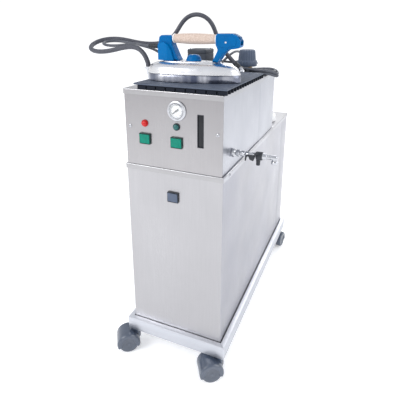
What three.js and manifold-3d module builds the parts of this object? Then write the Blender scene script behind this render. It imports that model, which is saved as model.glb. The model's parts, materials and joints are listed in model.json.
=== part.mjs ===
// Steam generator iron: a boiler cabinet with a professional iron on its mat, standing on a
// narrow wheeled cabinet that holds the feed-water tank. Millimetres, +Z up, front towards -Y.
// Every piece is placed from the foot of the upper cabinet's front face, at the floor;
// the whole machine is then moved so that the centre of its box, without cords, is the origin.
import * as THREE from 'three';
import { mergeVertices } from 'three/addons/utils/BufferGeometryUtils.js';
import Module from 'manifold-3d';

const wasm = await Module();
wasm.setup();

// ---- driving dimensions ----
const GAP = 0.3;
const SHEET = 1.5;
const CENTRE_X = 20.9;
const CENTRE_Y = 311.74;

const UPPER = { half: 115, depth: 441, seam: 280, bottom: 519, top: 690.6 };
const LOWER = { half: 118, depth: 660, seam: 575, bottom: 62, top: 518.5 };
const LIP = { out: 2, drop: 12 };
const TRAY = { half: 132, front: -13.5, rear: 673.5, bottom: 60, top: 95.6, flange: 11 };
const CASTOR = { radius: 25, sides: 16, half: 24.7, web: 3.5, trail: 24 };
const STEMS = { x: 117, front: 2, rear: 658 };
const BOILER = { x: 46, z: 605, radius: 54, wall: 2, front: 95, rear: 425, neckY: 380 };
const TANK = { half: 95, front: 470, rear: 645, bottom: 61.8, top: 440, wall: 3, neckX: 80, neckY: 520 };
const SWITCH = { width: 27, height: 24.5, proud: 4.5, lip: 0.9, holeX: 12.6, holeZ: 11.1 };
const GAUGE = { x: 12.4, z: 651, radius: 21.5, proud: 7 };
const LEVEL = { x: 66, half: 7.4, bottom: 576.5, top: 647.5 };
const MAT = { left: -88, right: 123, front: -3, rear: 272, ribs: 16, ribDepth: 7.5, sheet: 5, inset: 9 };
const IRON = { y: 88, heel: -97, nose: 121, half: 57, heelRound: 60, sole: 15.5, coverTop: 745.5 };
const GRIP = { z: 792.5, radius: 10.5, rear: -35, front: 66.5 };
const VALVE = { y: 60, z: 556, lever: 48, spout: 59, drop: 94 };
const SWITCHES = {
  left: { x: -65.5, y: 0, z: 582.5, look: 'green' },
  middle: { x: 11.4, y: 0, z: 582, look: 'green' },
  lower: { x: 0.3, y: 0, z: 453.7, look: 'slate' },
};
const LAMPS = { red: { x: -65.3, z: 617 }, green: { x: 11.3, z: 616.5 } };
const NEEDLE_REST = 125;
const OUTLET = { x: 60, y: 290 };
const JUNCTION = { left: -93, right: -37, front: 274, rear: 335, top: 757 };
const GLAND = { x: 10, z: 640 };
const HOSE = 11;
const CABLE = 7;
const LEAD = 7;
const HANK = { x: 8, y: 311, turn: 25, length: 180, bulb: 33, waist: 17.5, height: 15.4, edge: 117 };
const PLUG = { y: 431, z: 711, start: -14 };

// Routes of the hose, the cable and the mains lead, from where each leaves the machine.
const HOSE_ARCH = [
  [45.2, 290, 717.5], [32, 288, 731], [16, 283, 749], [3, 276, 770], [-5, 268, 794], [-11, 261, 818],
  [-26, 255, 838], [-50, 251, 847], [-75, 248, 842], [-94, 245, 824], [-106, 241, 802], [-122, 236, 783],
  [-143, 230, 774], [-166, 221, 771], [-184, 213.6, 771.6],
];
const HOSE_LOOP = [
  [-184.7, 213.3, 771.7], [-212, 203, 776], [-238, 195, 782], [-262, 190, 784], [-284, 180, 783],
  [-297, 163, 778], [-300.5, 144, 772], [-295, 124, 765], [-279, 108, 759], [-258, 100.5, 756],
  [-232, 99, 757], [-204, 101, 762], [-174, 100, 769], [-148, 97, 771], [-126, 92, 766], [-110, 89, 750.4],
  [-105.4, 88.2, 739.8], [-104, 88, 728.4],
];
const CABLE_LOOP = [
  [-100.2, 88, 775], [-108, 88.8, 775], [-120, 94, 775], [-138, 107, 776], [-160, 121, 776],
  [-188, 128, 773], [-216, 127, 770], [-244, 127, 770], [-264, 136, 773], [-272, 155, 777],
  [-260, 173, 779], [-236, 180, 778], [-208, 184, 773], [-192, 188.4, 769.8], [-184, 191.2, 768],
];
const CABLE_RUN = [
  [-183.4, 191.5, 767.9], [-172, 196, 765], [-158, 207, 759], [-147, 223, 748], [-139, 243, 733],
  [-134, 262, 718], [-127, 279, 707], [-115, 291, 701], [-104, 295.4, 700], [-93.6, 296, 700],
];
const LEAD_RUN = [
  [10, 475.8, 640], [10, 486, 641], [9.5, 500, 647], [8.5, 510, 659], [7.5, 514, 675], [6, 511, 692],
  [4.5, 501, 709], [3, 486, 724], [1, 466, 736], [-1, 440, 743], [-4, 414, 743], [-8, 390, 737],
  [-13, 370, 728], [-18, 350, 718], [-20.4, 336, 712.8],
];
const LEAD_END = [
  [-14.8, 431, 711], [-20, 431, 711], [-35, 427, 712.5], [-46, 416, 714], [-50, 401, 715],
  [-49.5, 382, 714], [-43, 364, 710], [-29, 350, 704], [-14, 344, 700], [-10, 343.8, 698.6],
];

const matTop = UPPER.top + GAP + MAT.ribDepth + MAT.sheet;
const soleBottom = matTop + GAP;
const soleTop = soleBottom + IRON.sole;

const COLOUR = {
  steel: { color: 0xbdbbbd, roughness: 0.38, metalness: 0.9 },
  polished: { color: 0xd6d8dc, roughness: 0.12, metalness: 1 },
  brass: { color: 0xb08d4a, roughness: 0.35, metalness: 1 },
  black: { color: 0x22252b, roughness: 0.5, metalness: 0 },
  slate: { color: 0x4b5361, roughness: 0.55, metalness: 0 },
  blue: { color: 0x0a5fc0, roughness: 0.32, metalness: 0 },
  cork: { color: 0xd9bfa6, roughness: 0.85, metalness: 0 },
  rubber: { color: 0x3a4250, roughness: 0.8, metalness: 0 },
  green: { color: 0x0b9a76, roughness: 0.3, metalness: 0 },
  red: { color: 0xd0202a, roughness: 0.2, metalness: 0 },
  darkGreen: { color: 0x1d5a55, roughness: 0.2, metalness: 0 },
  white: { color: 0xf0f1f3, roughness: 0.45, metalness: 0 },
};

const machine = new THREE.Group();
machine.position.set(-CENTRE_X, -CENTRE_Y, 0);
const group = new THREE.Group();
group.add(machine);

function add(name, geometry, look) {
  const mesh = new THREE.Mesh(geometry, new THREE.MeshStandardMaterial(COLOUR[look]));
  mesh.name = name;
  machine.add(mesh);
  return mesh;
}

// ---- solids ----
function solid(geometry) {
  const bare = geometry.clone();
  bare.deleteAttribute('normal');
  bare.deleteAttribute('uv');
  const merged = mergeVertices(bare, 1e-4);
  return new wasm.Manifold(new wasm.Mesh({
    numProp: 3,
    vertProperties: new Float32Array(merged.attributes.position.array),
    triVerts: new Uint32Array(merged.index.array),
  }));
}

function geometryOf(manifold) {
  const mesh = manifold.getMesh();
  const geometry = new THREE.BufferGeometry();
  geometry.setAttribute('position', new THREE.BufferAttribute(mesh.vertProperties, 3));
  geometry.setIndex(new THREE.BufferAttribute(mesh.triVerts, 1));
  geometry.computeVertexNormals();
  return geometry;
}

const join = (...geometries) => geometryOf(geometries.map(solid).reduce((a, b) => a.add(b)));
const cut = (base, ...tools) => geometryOf(tools.map(solid).reduce((a, b) => a.subtract(b), solid(base)));
const common = (a, b) => geometryOf(solid(a).intersect(solid(b)));

function block(x0, x1, y0, y1, z0, z1) {
  const geometry = new THREE.BoxGeometry(x1 - x0, y1 - y0, z1 - z0);
  return geometry.translate((x0 + x1) / 2, (y0 + y1) / 2, (z0 + z1) / 2);
}

// A round bar from one point along x, y or z.
function bar(axis, radius, length, x, y, z, sides = 24) {
  const geometry = new THREE.CylinderGeometry(radius, radius, length, sides).translate(0, length / 2, 0);
  if (axis === 'z') geometry.rotateX(Math.PI / 2);
  if (axis === 'x') geometry.rotateZ(-Math.PI / 2);
  return geometry.translate(x, y, z);
}

// A turned piece: [radius, height] pairs that start and end on the axis, standing along z.
function turned(profile, sides = 24) {
  const points = profile.map(([r, h]) => new THREE.Vector2(r, h));
  return new THREE.LatheGeometry(points, sides).rotateX(Math.PI / 2);
}

function outline(points) {
  return new THREE.Shape(points.map(([x, y]) => new THREE.Vector2(x, y)));
}

// A flat outline in x and z, given its thickness along y from y0 to y1.
function frontPlate(shape, y0, y1, curveSegments = 8) {
  const geometry = new THREE.ExtrudeGeometry(shape, { depth: y1 - y0, bevelEnabled: false, curveSegments });
  return geometry.rotateX(Math.PI / 2).translate(0, y1, 0);
}

// A flat outline in x and y, given its height from z0 to z1.
function slab(shape, z0, z1, curveSegments = 8) {
  const geometry = new THREE.ExtrudeGeometry(shape, { depth: z1 - z0, bevelEnabled: false, curveSegments });
  return geometry.translate(0, 0, z0);
}

function tube(points, diameter, steps, sides = 10) {
  const curve = new THREE.CatmullRomCurve3(points.map((p) => new THREE.Vector3(...p)), false, 'centripetal');
  const section = new THREE.Shape();
  for (let i = 0; i < sides; i += 1) {
    const angle = (2 * Math.PI * i) / sides;
    const x = (diameter / 2) * Math.cos(angle);
    const y = (diameter / 2) * Math.sin(angle);
    if (i === 0) section.moveTo(x, y);
    else section.lineTo(x, y);
  }
  section.closePath();
  return new THREE.ExtrudeGeometry(section, { steps, extrudePath: curve, bevelEnabled: false });
}

// ---- wheeled base ----
function baseTray() {
  const { half, front, rear, bottom, top, flange } = TRAY;
  const outer = block(-half, half, front, rear, bottom, top);
  const inner = block(-half + SHEET, half - SHEET, front + SHEET, rear - SHEET, bottom + SHEET, top - SHEET);
  const mouth = block(-half + flange, half - flange, front + flange, rear - flange, top - 5, top + 5);
  const holes = castorPlaces().map((c) => bar('z', 5.4, 12, c.x, c.y, bottom - 5, 16));
  add('base_tray', cut(outer, inner, mouth, ...holes), 'steel');
}

function castorPlaces() {
  return [
    { name: 'fl', x: -STEMS.x, y: STEMS.front, turn: -143 },
    { name: 'fr', x: STEMS.x, y: STEMS.front, turn: -146 },
    { name: 'rl', x: -STEMS.x, y: STEMS.rear, turn: -115 },
    { name: 'rr', x: STEMS.x, y: STEMS.rear, turn: -98 },
  ];
}

// The hood covers a pair of wheels on one axle; the stem stands behind them by the trail.
function castorHood() {
  const { radius, half, web, trail } = CASTOR;
  const shell = bar('y', radius + 4, 2 * half + 1, trail, -half - 0.5, radius, 24);
  const above = block(-30, trail + 40, -40, 40, radius - 8, 2 * radius + 6);
  const hood = common(shell, above);
  const socket = bar('z', 9, 24, 0, 0, 34, 16);
  const stem = bar('z', 5, 5.7, 0, 0, 56, 12);
  const well = (y0) => bar('y', radius + 1.5, 40, trail, y0, radius, 24);
  const axleHole = bar('y', 3.5, 80, trail, -40, radius, 12);
  return cut(join(hood, socket, stem), well(web), well(-web - 40), axleHole);
}

// The wheels are many-sided and stand on a flat.
function castorWheels() {
  const { radius, half, web, trail, sides } = CASTOR;
  const tread = radius / Math.cos(Math.PI / sides);
  const inner = web + 0.6;
  const side = [[3, inner], [tread - 1.5, inner], [tread, inner + 2], [tread, half - 5], [tread - 4, half]];
  const profile = [
    [0, -half],
    ...[...side].reverse().map(([r, h]) => [r, -h]),
    ...side,
    [0, half],
  ];
  const wheels = turned(profile, sides).rotateX(-Math.PI / 2).rotateY(Math.PI / sides);
  return wheels.translate(trail, 0, radius);
}

function castors() {
  const hood = castorHood();
  const wheels = castorWheels();
  for (const place of castorPlaces()) {
    const turn = THREE.MathUtils.degToRad(place.turn);
    add(`castor_${place.name}_hood`, hood.clone().rotateZ(turn).translate(place.x, place.y, 0), 'slate');
    add(`castor_${place.name}_wheels`, wheels.clone().rotateZ(turn).translate(place.x, place.y, 0), 'slate');
  }
}

// ---- lower cabinet ----
function lowerCabinet() {
  const { half, depth, seam, bottom, top } = LOWER;
  const wallTop = top - SHEET - GAP;
  const shell = cut(
    block(-half, half, 0, seam - GAP, bottom, wallTop),
    block(-half + SHEET, half - SHEET, SHEET, seam + 5, bottom - 5, top + 5),
    switchHole(SWITCHES.lower),
  );
  add('lower_shell', shell, 'steel');
  const rear = cut(
    block(-half, half, seam, depth, bottom, wallTop),
    block(-half + SHEET, half - SHEET, seam - 5, depth - SHEET, bottom - 5, top + 5),
  );
  add('lower_rear_cover', rear, 'steel');
  add('lower_deck', lid(half, -LIP.out, depth + LIP.out, top, [
    bar('z', 24, 30, TANK.neckX, TANK.neckY, top - 15, 24),
  ]), 'steel');
}

// A plate with a skirt folded down all round, outside the walls below it.
function lid(half, front, rear, top, holes) {
  const out = half + LIP.out;
  const inner = out - SHEET;
  return cut(
    block(-out, out, front, rear, top - LIP.drop, top),
    block(-inner, inner, front + SHEET, rear - SHEET, top - LIP.drop - 5, top - SHEET),
    ...holes,
  );
}

// ---- feed water ----
function feedWater() {
  const { half, front, rear, bottom, top, wall, neckX, neckY } = TANK;
  const neck = bar('z', 20, LOWER.top + 6 - top + 5, neckX, neckY, top - 5, 24);
  const body = join(block(-half, half, front, rear, bottom, top), neck);
  const hollow = block(-half + wall, half - wall, front + wall, rear - wall, bottom + wall, top - wall);
  add('water_tank', cut(body, hollow, bar('z', 17, 200, neckX, neckY, top - 20, 24)), 'white');
  const cap = cut(
    turned([[0, 0], [24, 0], [26, 2], [26, 20], [23, 25], [0, 25]]),
    bar('z', 20.4, 18, 0, 0, -1, 24),
  );
  add('tank_filler_cap', cap.translate(neckX, neckY, LOWER.top + GAP), 'white');
  const pump = join(
    block(-45, 45, 330, 400, bottom, bottom + 8),
    bar('x', 27, 70, -35, 365, bottom + 38, 24),
    block(-25, 25, 345, 385, bottom + 4, bottom + 30),
    bar('x', 15, 100, -50, 365, bottom + 38, 16),
  );
  add('feed_pump', pump, 'black');
}

// ---- upper cabinet ----
function switchHole(s) {
  return block(s.x - SWITCH.holeX, s.x + SWITCH.holeX, -5, 5, s.z - SWITCH.holeZ, s.z + SWITCH.holeZ);
}

function upperCabinet() {
  const { half, depth, seam, bottom, top } = UPPER;
  const wallTop = top - SHEET - GAP;
  const front = SHEET + GAP;
  const shell = cut(
    block(-half, half, front, seam - GAP, bottom, wallTop),
    block(-half + SHEET, half - SHEET, front - 5, seam + 5, bottom + SHEET, top + 5),
    bar('x', 8, 20, half - 10, VALVE.y, VALVE.z, 16),
  );
  add('upper_shell', shell, 'steel');
  const rear = cut(
    block(-half, half, seam, depth, bottom, wallTop),
    block(-half + SHEET, half - SHEET, seam - 5, depth - SHEET, bottom - 5, top + 5),
    bar('y', 7, 20, GLAND.x, depth - 10, GLAND.z, 16),
  );
  add('upper_rear_cover', rear, 'steel');
  const windows = [SWITCHES.left, SWITCHES.middle].map(switchHole);
  const lamps = Object.values(LAMPS).map((l) => bar('y', 5.3, 10, l.x, -5, l.z, 16));
  const panel = cut(
    block(-half, half, 0, SHEET, bottom, wallTop),
    ...windows,
    ...lamps,
    bar('y', 19.3, 10, GAUGE.x, -5, GAUGE.z, 32),
    block(LEVEL.x - LEVEL.half, LEVEL.x + LEVEL.half, -5, 5, LEVEL.bottom, LEVEL.top),
  );
  add('upper_front_panel', panel, 'steel');
  add('upper_top_plate', lid(half, -LIP.out, depth + LIP.out, top, [
    bar('z', 16.6, 20, BOILER.x, BOILER.neckY, top - 10, 24),
    bar('z', 6.5, 20, OUTLET.x, OUTLET.y, top - 10, 16),
  ]), 'steel');
}

// ---- boiler ----
function boiler() {
  const { x, z, radius, wall, front, rear, neckY } = BOILER;
  const neckTop = UPPER.top + 13;
  const saddle = (y) => block(x - 34, x + 34, y, y + 18, UPPER.bottom + SHEET + GAP, z - 30);
  const body = join(
    bar('y', radius, rear - front, x, front, z, 28),
    bar('z', 16, neckTop - z, x, neckY, z, 24),
    saddle(150),
    saddle(340),
  );
  const hollow = bar('y', radius - wall, rear - front - 2 * wall, x, front + wall, z, 28);
  const bore = bar('z', 12, 80, x, neckY, z + 30, 24);
  const port = bar('y', 18, 20, x, rear - 10, z - 22, 24);
  add('boiler', cut(body, hollow, bore, port), 'polished');
  const hairpin = [
    [x - 11, rear, z - 22], [x - 11, 260, z - 22], [x - 11, 190, z - 22], [x - 8, 172, z - 22],
    [x, 165, z - 22],
    [x + 8, 172, z - 22], [x + 11, 190, z - 22], [x + 11, 260, z - 22], [x + 11, rear, z - 22],
  ];
  const element = join(
    bar('y', 26, 6, x, rear + GAP, z - 22, 24),
    bar('y', 17.6, 8, x, rear - 5, z - 22, 24),
    tube(hairpin, 7, 20, 8),
  );
  add('heating_element', element, 'brass');
  const plug = join(
    bar('z', 11.6, 12, x, neckY, neckTop - 11, 24),
    bar('z', 15, 4, x, neckY, neckTop + GAP, 24),
    bar('z', 5, 20, x, neckY, neckTop + 3, 16),
  );
  add('boiler_cap_plug', plug, 'brass');
  const skirtTop = 24;
  const skirt = [[0, 6], [27, 6], [28.3, 8], [28.3, skirtTop - 3], [27, skirtTop]];
  const knob = turned([...skirt, [24, 49], [21.5, 51.5], [0, 51.5]], 24);
  const knobHollow = turned([[0, 0], [24, 0], [24, 14.5], [5.4, 14.5], [5.4, 40], [0, 40]], 24);
  add('boiler_cap_knob', cut(knob, knobHollow).translate(x, neckY, UPPER.top + 11), 'slate');
}

function controls() {
  const floor = UPPER.bottom + SHEET + GAP;
  const pressureSwitch = join(
    block(-98, -58, 120, 175, floor, floor + 34),
    bar('z', 16, 14, -78, 147, floor + 30, 20),
    bar('z', 4, 12, -78, 147, floor + 42, 10),
  );
  add('pressure_switch', pressureSwitch, 'black');
  const solenoid = join(
    block(-98, -62, 210, 262, floor, floor + 20),
    bar('z', 6, 50, -80, 236, floor + 15, 12),
    block(-96, -64, 221, 251, floor + 24, floor + 58),
  );
  add('steam_solenoid_valve', solenoid, 'brass');
  switches();
  gauge();
  lamps();
  levelWindow();
}

function switches() {
  const { width, height, proud, lip } = SWITCH;
  for (const [name, s] of Object.entries(SWITCHES)) {
    const w = width / 2;
    const h = height / 2;
    const frame = cut(
      join(
        block(s.x - w, s.x + w, -proud, -GAP, s.z - h, s.z + h),
        block(s.x - 12.3, s.x + 12.3, -1, 24, s.z - 10.8, s.z + 10.8),
      ),
      block(s.x - w + lip, s.x + w - lip, -proud - 1, -1.2, s.z - h + lip, s.z + h - lip),
      block(s.x - 11.5, s.x + 11.5, -2, 14, s.z - 8.5, s.z + 8.5),
    );
    add(`switch_${name}_frame`, frame, 'black');
    const reach = h - lip - 1.05;
    const cap = outline([[-proud - 0.6, -reach], [-proud - 2.2, reach], [-3.2, reach], [-3.2, -reach]]);
    const tongue = outline([[-3.4, -4], [-3.4, 4], [8, 2], [8, -2]]);
    const rocker = join(placeRocker(cap, w - lip - GAP, s), placeRocker(tongue, 8, s));
    add(`switch_${name}_rocker`, rocker, s.look);
  }
}

// A piece of a rocker from its outline in y and z, reaching to both sides of its middle along x.
function placeRocker(face, reach, s) {
  const geometry = new THREE.ExtrudeGeometry(face, { depth: 2 * reach, bevelEnabled: false });
  const turn = new THREE.Matrix4().set(0, 0, 1, s.x - reach, 1, 0, 0, s.y, 0, 1, 0, s.z, 0, 0, 0, 1);
  return geometry.applyMatrix4(turn);
}

function gauge() {
  const { x, z, radius, proud } = GAUGE;
  const place = (geometry) => geometry.rotateX(Math.PI / 2).translate(x, 0, z);
  const ring = [[0, -26], [19, -26], [19, GAP], [radius, GAP], [radius, 2.4], [radius - 1.2, 3.6]];
  const dish = [[15.8, proud], [14.8, proud], [14.8, 1.5], [0, 1.5]];
  add('gauge_case', place(turned([...ring, ...dish], 24)), 'polished');
  const pointer = outline([[-0.5, 12], [0.5, 12], [1, 1.5], [1.6, -6], [-1.6, -6], [-1, 1.5]]);
  const flat = new THREE.ExtrudeGeometry(pointer, { depth: 0.6, bevelEnabled: false }).translate(0, 0, 3.1);
  const hub = bar('z', 2.2, 1.6, 0, 0, 2.8, 12);
  const needle = join(flat, hub).rotateZ(THREE.MathUtils.degToRad(NEEDLE_REST));
  add('gauge_needle', place(needle), 'black');
}

function lamps() {
  for (const [name, l] of Object.entries(LAMPS)) {
    const body = [[0, -22], [5, -22], [5, GAP], [7.6, GAP], [7.6, 1.8]];
    const profile = [...body, [6.9, 2.2], [6.2, 4.6], [4, 6.6], [0, 7.4]];
    const lamp = turned(profile, 20).rotateX(Math.PI / 2).translate(l.x, 0, l.z);
    add(`lamp_${name}`, lamp, name === 'red' ? 'red' : 'darkGreen');
  }
}

function levelWindow() {
  const { x, half, bottom, top } = LEVEL;
  const y0 = SHEET + GAP;
  const housing = cut(
    block(x - half - 5, x + half + 5, y0, y0 + 16, bottom - 8, top + 8),
    block(x - half, x + half, y0 - 5, y0 + 12, bottom, top),
  );
  add('level_housing', housing, 'black');
}

// ---- boiler drain on the right side ----
function drainValve() {
  const start = UPPER.half + GAP;
  const { y, z } = VALVE;
  const profile = [
    [0, 0], [9.5, 0], [9.5, 8], [5.2, 9.5], [5.2, 30], [6.4, 31], [6.4, 76], [5.2, 77],
    [5.2, 94], [3.7, 98], [0, 99.5],
  ];
  const pipe = turned(profile, 20).rotateY(Math.PI / 2).translate(start, y, z);
  const feed = bar('x', 5, start - BOILER.x + 5, BOILER.x, y, z, 12);
  const turnBack = bar('y', 5, BOILER.front - GAP - y + 5, BOILER.x + 5, y - 5, z, 12);
  const boss = bar('y', 3.6, 11, start + VALVE.lever, y - 13, z, 16);
  const drop = bar('z', 5.2, 13, start + VALVE.drop, y, z - 13, 16);
  const nut = bar('z', 7, 6, start + VALVE.drop, y, z - 13, 16);
  add('drain_valve_body', join(pipe, boss, feed, turnBack, drop, nut), 'polished');
  drainLever(start + VALVE.lever);
  drainSpout(start + VALVE.spout);
}

// Two short wings on a hub in front of the pipe.
function drainLever(x) {
  const { y, z } = VALVE;
  const arms = outline([
    [x - 4, z - 6], [x + 4, z - 8], [x + 6.5, z - 2], [x + 7, z + 2], [x + 13.5, z + 12.5],
    [x + 10.5, z + 14.5], [x + 3, z + 5], [x - 4, z + 4], [x - 9, z + 5.5], [x - 13.5, z + 2],
    [x - 15, z - 9], [x - 12, z - 10], [x - 10.5, z], [x - 8, z + 1.5], [x - 5, z - 1],
  ]);
  add('drain_valve_lever', frontPlate(arms, y - 16.3, y - 13.3), 'black');
}

// A collar round the pipe with a short pipe down.
function drainSpout(x) {
  const { y, z } = VALVE;
  const collar = bar('x', 9, 13, x - 4, y, z, 20);
  const down = bar('z', 4.2, 17, x, y, z - 21, 16);
  add('drain_spout', cut(join(collar, down), bar('x', 6.7, 30, x - 15, y, z, 20)), 'black');
}

// ---- top of the cabinet ----
function topFittings() {
  const plate = UPPER.top + GAP;
  const rise = new THREE.CylinderGeometry(6.5, 6.5, 20, 16).translate(0, 10, 0).rotateX(Math.PI / 2);
  rise.rotateY(-Math.PI / 4).translate(OUTLET.x, OUTLET.y, plate + 12);
  const stem = bar('z', 6, 20, OUTLET.x, OUTLET.y, plate - 12, 16);
  add('hose_outlet', join(bar('z', 10, 16, OUTLET.x, OUTLET.y, plate, 6), rise, stem), 'polished');
  const { left, right, front, rear, top } = JUNCTION;
  const box = join(
    block(left, right, front, rear, plate, top - 4),
    block(left + 2, right - 2, front + 2, rear - 2, top - 6, top),
  );
  add('junction_box', box, 'slate');
  const glandSide = [[0, -12], [6.6, -12], [6.6, GAP], [11, GAP], [11, 8], [7, 10], [5.2, 34], [0, 34]];
  const gland = turned(glandSide, 16);
  add('mains_gland', gland.rotateX(-Math.PI / 2).translate(GLAND.x, UPPER.depth, GLAND.z), 'black');
}

// A rubber sheet on cross ribs.
function ironMat() {
  const { left, right, front, rear, ribs, ribDepth, sheet, inset } = MAT;
  const bottom = UPPER.top + GAP;
  const under = bottom + ribDepth;
  const pitch = (rear - front - 6) / (ribs - 1);
  const sheetBlock = block(left, right, front, rear, under, under + sheet);
  const start = (n) => front + n * pitch + 0.5;
  const rib = (n) => block(left + inset, right, start(n), start(n) + 4.5, bottom, under + 1);
  const all = Array.from({ length: ribs }, (_, n) => rib(n));
  add('iron_mat', join(sheetBlock, ...all), 'rubber');
}

// ---- iron ----
// The sole's outline: a rounded heel and sides that curve in to the nose.
function soleShape(inset) {
  const { heel, nose, half, heelRound } = IRON;
  const h = half - inset;
  const back = heel + inset;
  const round = (heelRound * h) / half;
  const flat = 4;
  const shoulder = flat + (h - flat) * 0.55;
  const shape = new THREE.Shape();
  shape.moveTo(back + round, -h);
  shape.bezierCurveTo(heel + 110, -h - 1, nose - inset - 6, -h * 0.62, nose - inset, 0);
  shape.bezierCurveTo(nose - inset - 6, h * 0.62, heel + 110, h + 1, back + round, h);
  shape.bezierCurveTo(back + round * 0.45, h, back, shoulder, back, flat);
  shape.lineTo(back, -flat);
  shape.bezierCurveTo(back, -shoulder, back + round * 0.45, -h, back + round, -h);
  return shape;
}

function iron() {
  add('iron_sole', slab(soleShape(0), soleBottom, soleTop, 8).translate(0, IRON.y, 0), 'polished');
  const steps = [
    [1.5, soleTop + GAP, soleTop + 9],
    [6, soleTop + 8, soleTop + 17],
    [14, soleTop + 16, IRON.coverTop],
  ];
  const layers = steps.map(([inset, z0, z1]) => slab(soleShape(inset), z0, z1, 6));
  add('iron_cover', join(...layers).translate(0, IRON.y, 0), 'polished');
  ironPosts();
  const knob = turned([[0, 0], [17, 0], [17, 3], [15, 4], [14, 12], [12, 13.5], [0, 13.5]], 24);
  add('iron_thermostat_knob', knob.translate(12, IRON.y, IRON.coverTop + GAP), 'blue');
  const heelX = IRON.heel - 7;
  const barb = join(
    bar('x', 5, 6.6, heelX, IRON.y, soleTop - 6, 12),
    bar('z', 5, 13, heelX, IRON.y, soleTop - 9, 12),
    bar('z', 7.4, 6, heelX, IRON.y, soleTop + 2.5, 20),
  );
  add('iron_hose_barb', barb, 'polished');
}

function ironPosts() {
  const base = IRON.coverTop + GAP;
  const y0 = IRON.y - 13;
  const y1 = IRON.y + 13;
  const rear = outline([
    [-70, base], [-19, base], [-24, base + 8], [-36.2, 780], [-36.2, 796], [-39, 799.5], [-61, 799.5],
    [-65.5, 796], [-70, 778],
  ]);
  const seat = bar('x', GRIP.radius - 3, 30, GRIP.rear - 12, IRON.y, GRIP.z, 16);
  const housing = outline([
    [-70, base], [-30, base], [-35, 765], [-42, 780], [-55, 785], [-66, 782], [-70, 775],
  ]);
  const ridge = new THREE.Shape([
    [-72, y0], [-44, y0 - 9], [-20, y0], [-20, y1], [-44, y1 + 9], [-72, y1],
  ].map(([x, y]) => new THREE.Vector2(x, y)));
  const body = join(
    frontPlate(rear, y0, y1),
    common(frontPlate(housing, y0 - 10, y1 + 10), slab(ridge, base - 5, 790)),
  );
  const rearPost = cut(body, seat, bar('x', 4.4, 18.8, -78.5, IRON.y, 775, 12));
  add('iron_rear_post', rearPost, 'blue');
  const front = outline([
    [59, base], [71, base], [84, base + 18], [95, 772], [110, 774], [121, 778], [121.5, 790], [114, 800],
    [104, 804.5], [68, 804.5], [67, 780], [72, 771], [67, base + 14],
  ]);
  const pocket = block(84, 125, y0 + 4, y1 - 4, 781.5, 806);
  const frontPost = cut(
    frontPlate(front, y0, y1),
    bar('x', GRIP.radius - 3, 20, GRIP.front - 5, IRON.y, GRIP.z, 16),
    pocket,
  );
  add('iron_front_post', frontPost, 'blue');
  const trigger = outline([[86, 783.5], [110, 785.5], [120, 789.5], [119, 798], [108, 804], [86, 804]]);
  add('iron_steam_trigger', frontPlate(trigger, y0 + 4.6, y1 - 4.6), 'blue');
  const r = GRIP.radius;
  const length = GRIP.front - GRIP.rear;
  const tenon = GRIP.radius - 3.4;
  const profile = [
    [0, -11], [tenon, -11], [tenon, GAP], [r - 2, GAP], [r - 0.4, 12], [r + 0.8, length / 2],
    [r - 0.4, length - 12], [r - 2, length - GAP], [tenon, length - GAP], [tenon, length + 11],
    [0, length + 11],
  ];
  const grip = turned(profile, 20).rotateY(Math.PI / 2).translate(GRIP.rear, IRON.y, GRIP.z);
  add('iron_grip', grip, 'cork');
  const relief = turned([[0, -10], [4, -10], [4, GAP], [6, GAP], [5.4, 6], [4.2, 29.5], [0, 29.5]], 14);
  add('iron_cable_relief', relief.rotateY(-Math.PI / 2).translate(-70, IRON.y, 775), 'rubber');
}

// ---- cords ----
// The lead's hank: bulbs at both ends, a waist under the tie, and an end that hangs off the edge.
function hankSolid() {
  const { x, y, turn, length, bulb, waist, height, edge } = HANK;
  const far = length - bulb;
  const plan = new THREE.Shape();
  plan.moveTo(bulb, -bulb);
  plan.bezierCurveTo(bulb + 30, -bulb, length / 2 - 26, -waist, length / 2, -waist);
  plan.bezierCurveTo(length / 2 + 26, -waist, far - 30, -bulb, far, -bulb);
  plan.absarc(far, 0, bulb, -Math.PI / 2, Math.PI / 2, false);
  plan.bezierCurveTo(far - 30, bulb, length / 2 + 26, waist, length / 2, waist);
  plan.bezierCurveTo(length / 2 - 26, waist, bulb + 30, bulb, bulb, bulb);
  plan.absarc(bulb, 0, bulb, Math.PI / 2, (3 * Math.PI) / 2, false);
  const standing = slab(plan, 600, 800, 10).translate(-bulb, 0, 0);
  standing.rotateZ(THREE.MathUtils.degToRad(turn)).translate(x, y, 0);
  const bottom = UPPER.top + GAP;
  const bend = edge + 3;
  const side = outline([
    [x - 60, bottom], [bend, bottom], [bend + 60, bottom - 22], [bend + 60, bottom + height - 22],
    [bend + 4, bottom + height], [x - 60, bottom + height],
  ]);
  return common(standing, frontPlate(side, 200, 480));
}

function mainsPlug() {
  const { y, z, start } = PLUG;
  const profile = [[0, 0], [4.6, 0], [6.5, 22], [13, 26], [19, 34], [19, 58], [0, 58]];
  const body = turned(profile, 24).rotateY(Math.PI / 2).translate(start, y, z);
  const pins = [-9.5, 9.5].map((dy) => bar('x', 2.4, 19.5, start + 57.5, y + dy, z, 12));
  return join(body, ...pins);
}

function cords() {
  add('steam_hose_arch', tube(HOSE_ARCH, HOSE, 22), 'slate');
  add('steam_hose_loop', tube(HOSE_LOOP, HOSE, 24), 'slate');
  add('iron_cable_loop', tube(CABLE_LOOP, CABLE, 24, 8), 'slate');
  add('iron_cable_run', tube(CABLE_RUN, CABLE, 14, 8), 'slate');
  add('mains_lead_run', tube(LEAD_RUN, LEAD, 24, 8), 'slate');
  add('mains_lead_end', tube(LEAD_END, LEAD, 16, 8), 'slate');
  add('mains_lead_hank', hankSolid(), 'slate');
  add('mains_plug', mainsPlug(), 'black');
}

baseTray();
castors();
lowerCabinet();
feedWater();
upperCabinet();
boiler();
controls();
drainValve();
topFittings();
ironMat();
iron();
cords();

export default group;
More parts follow.
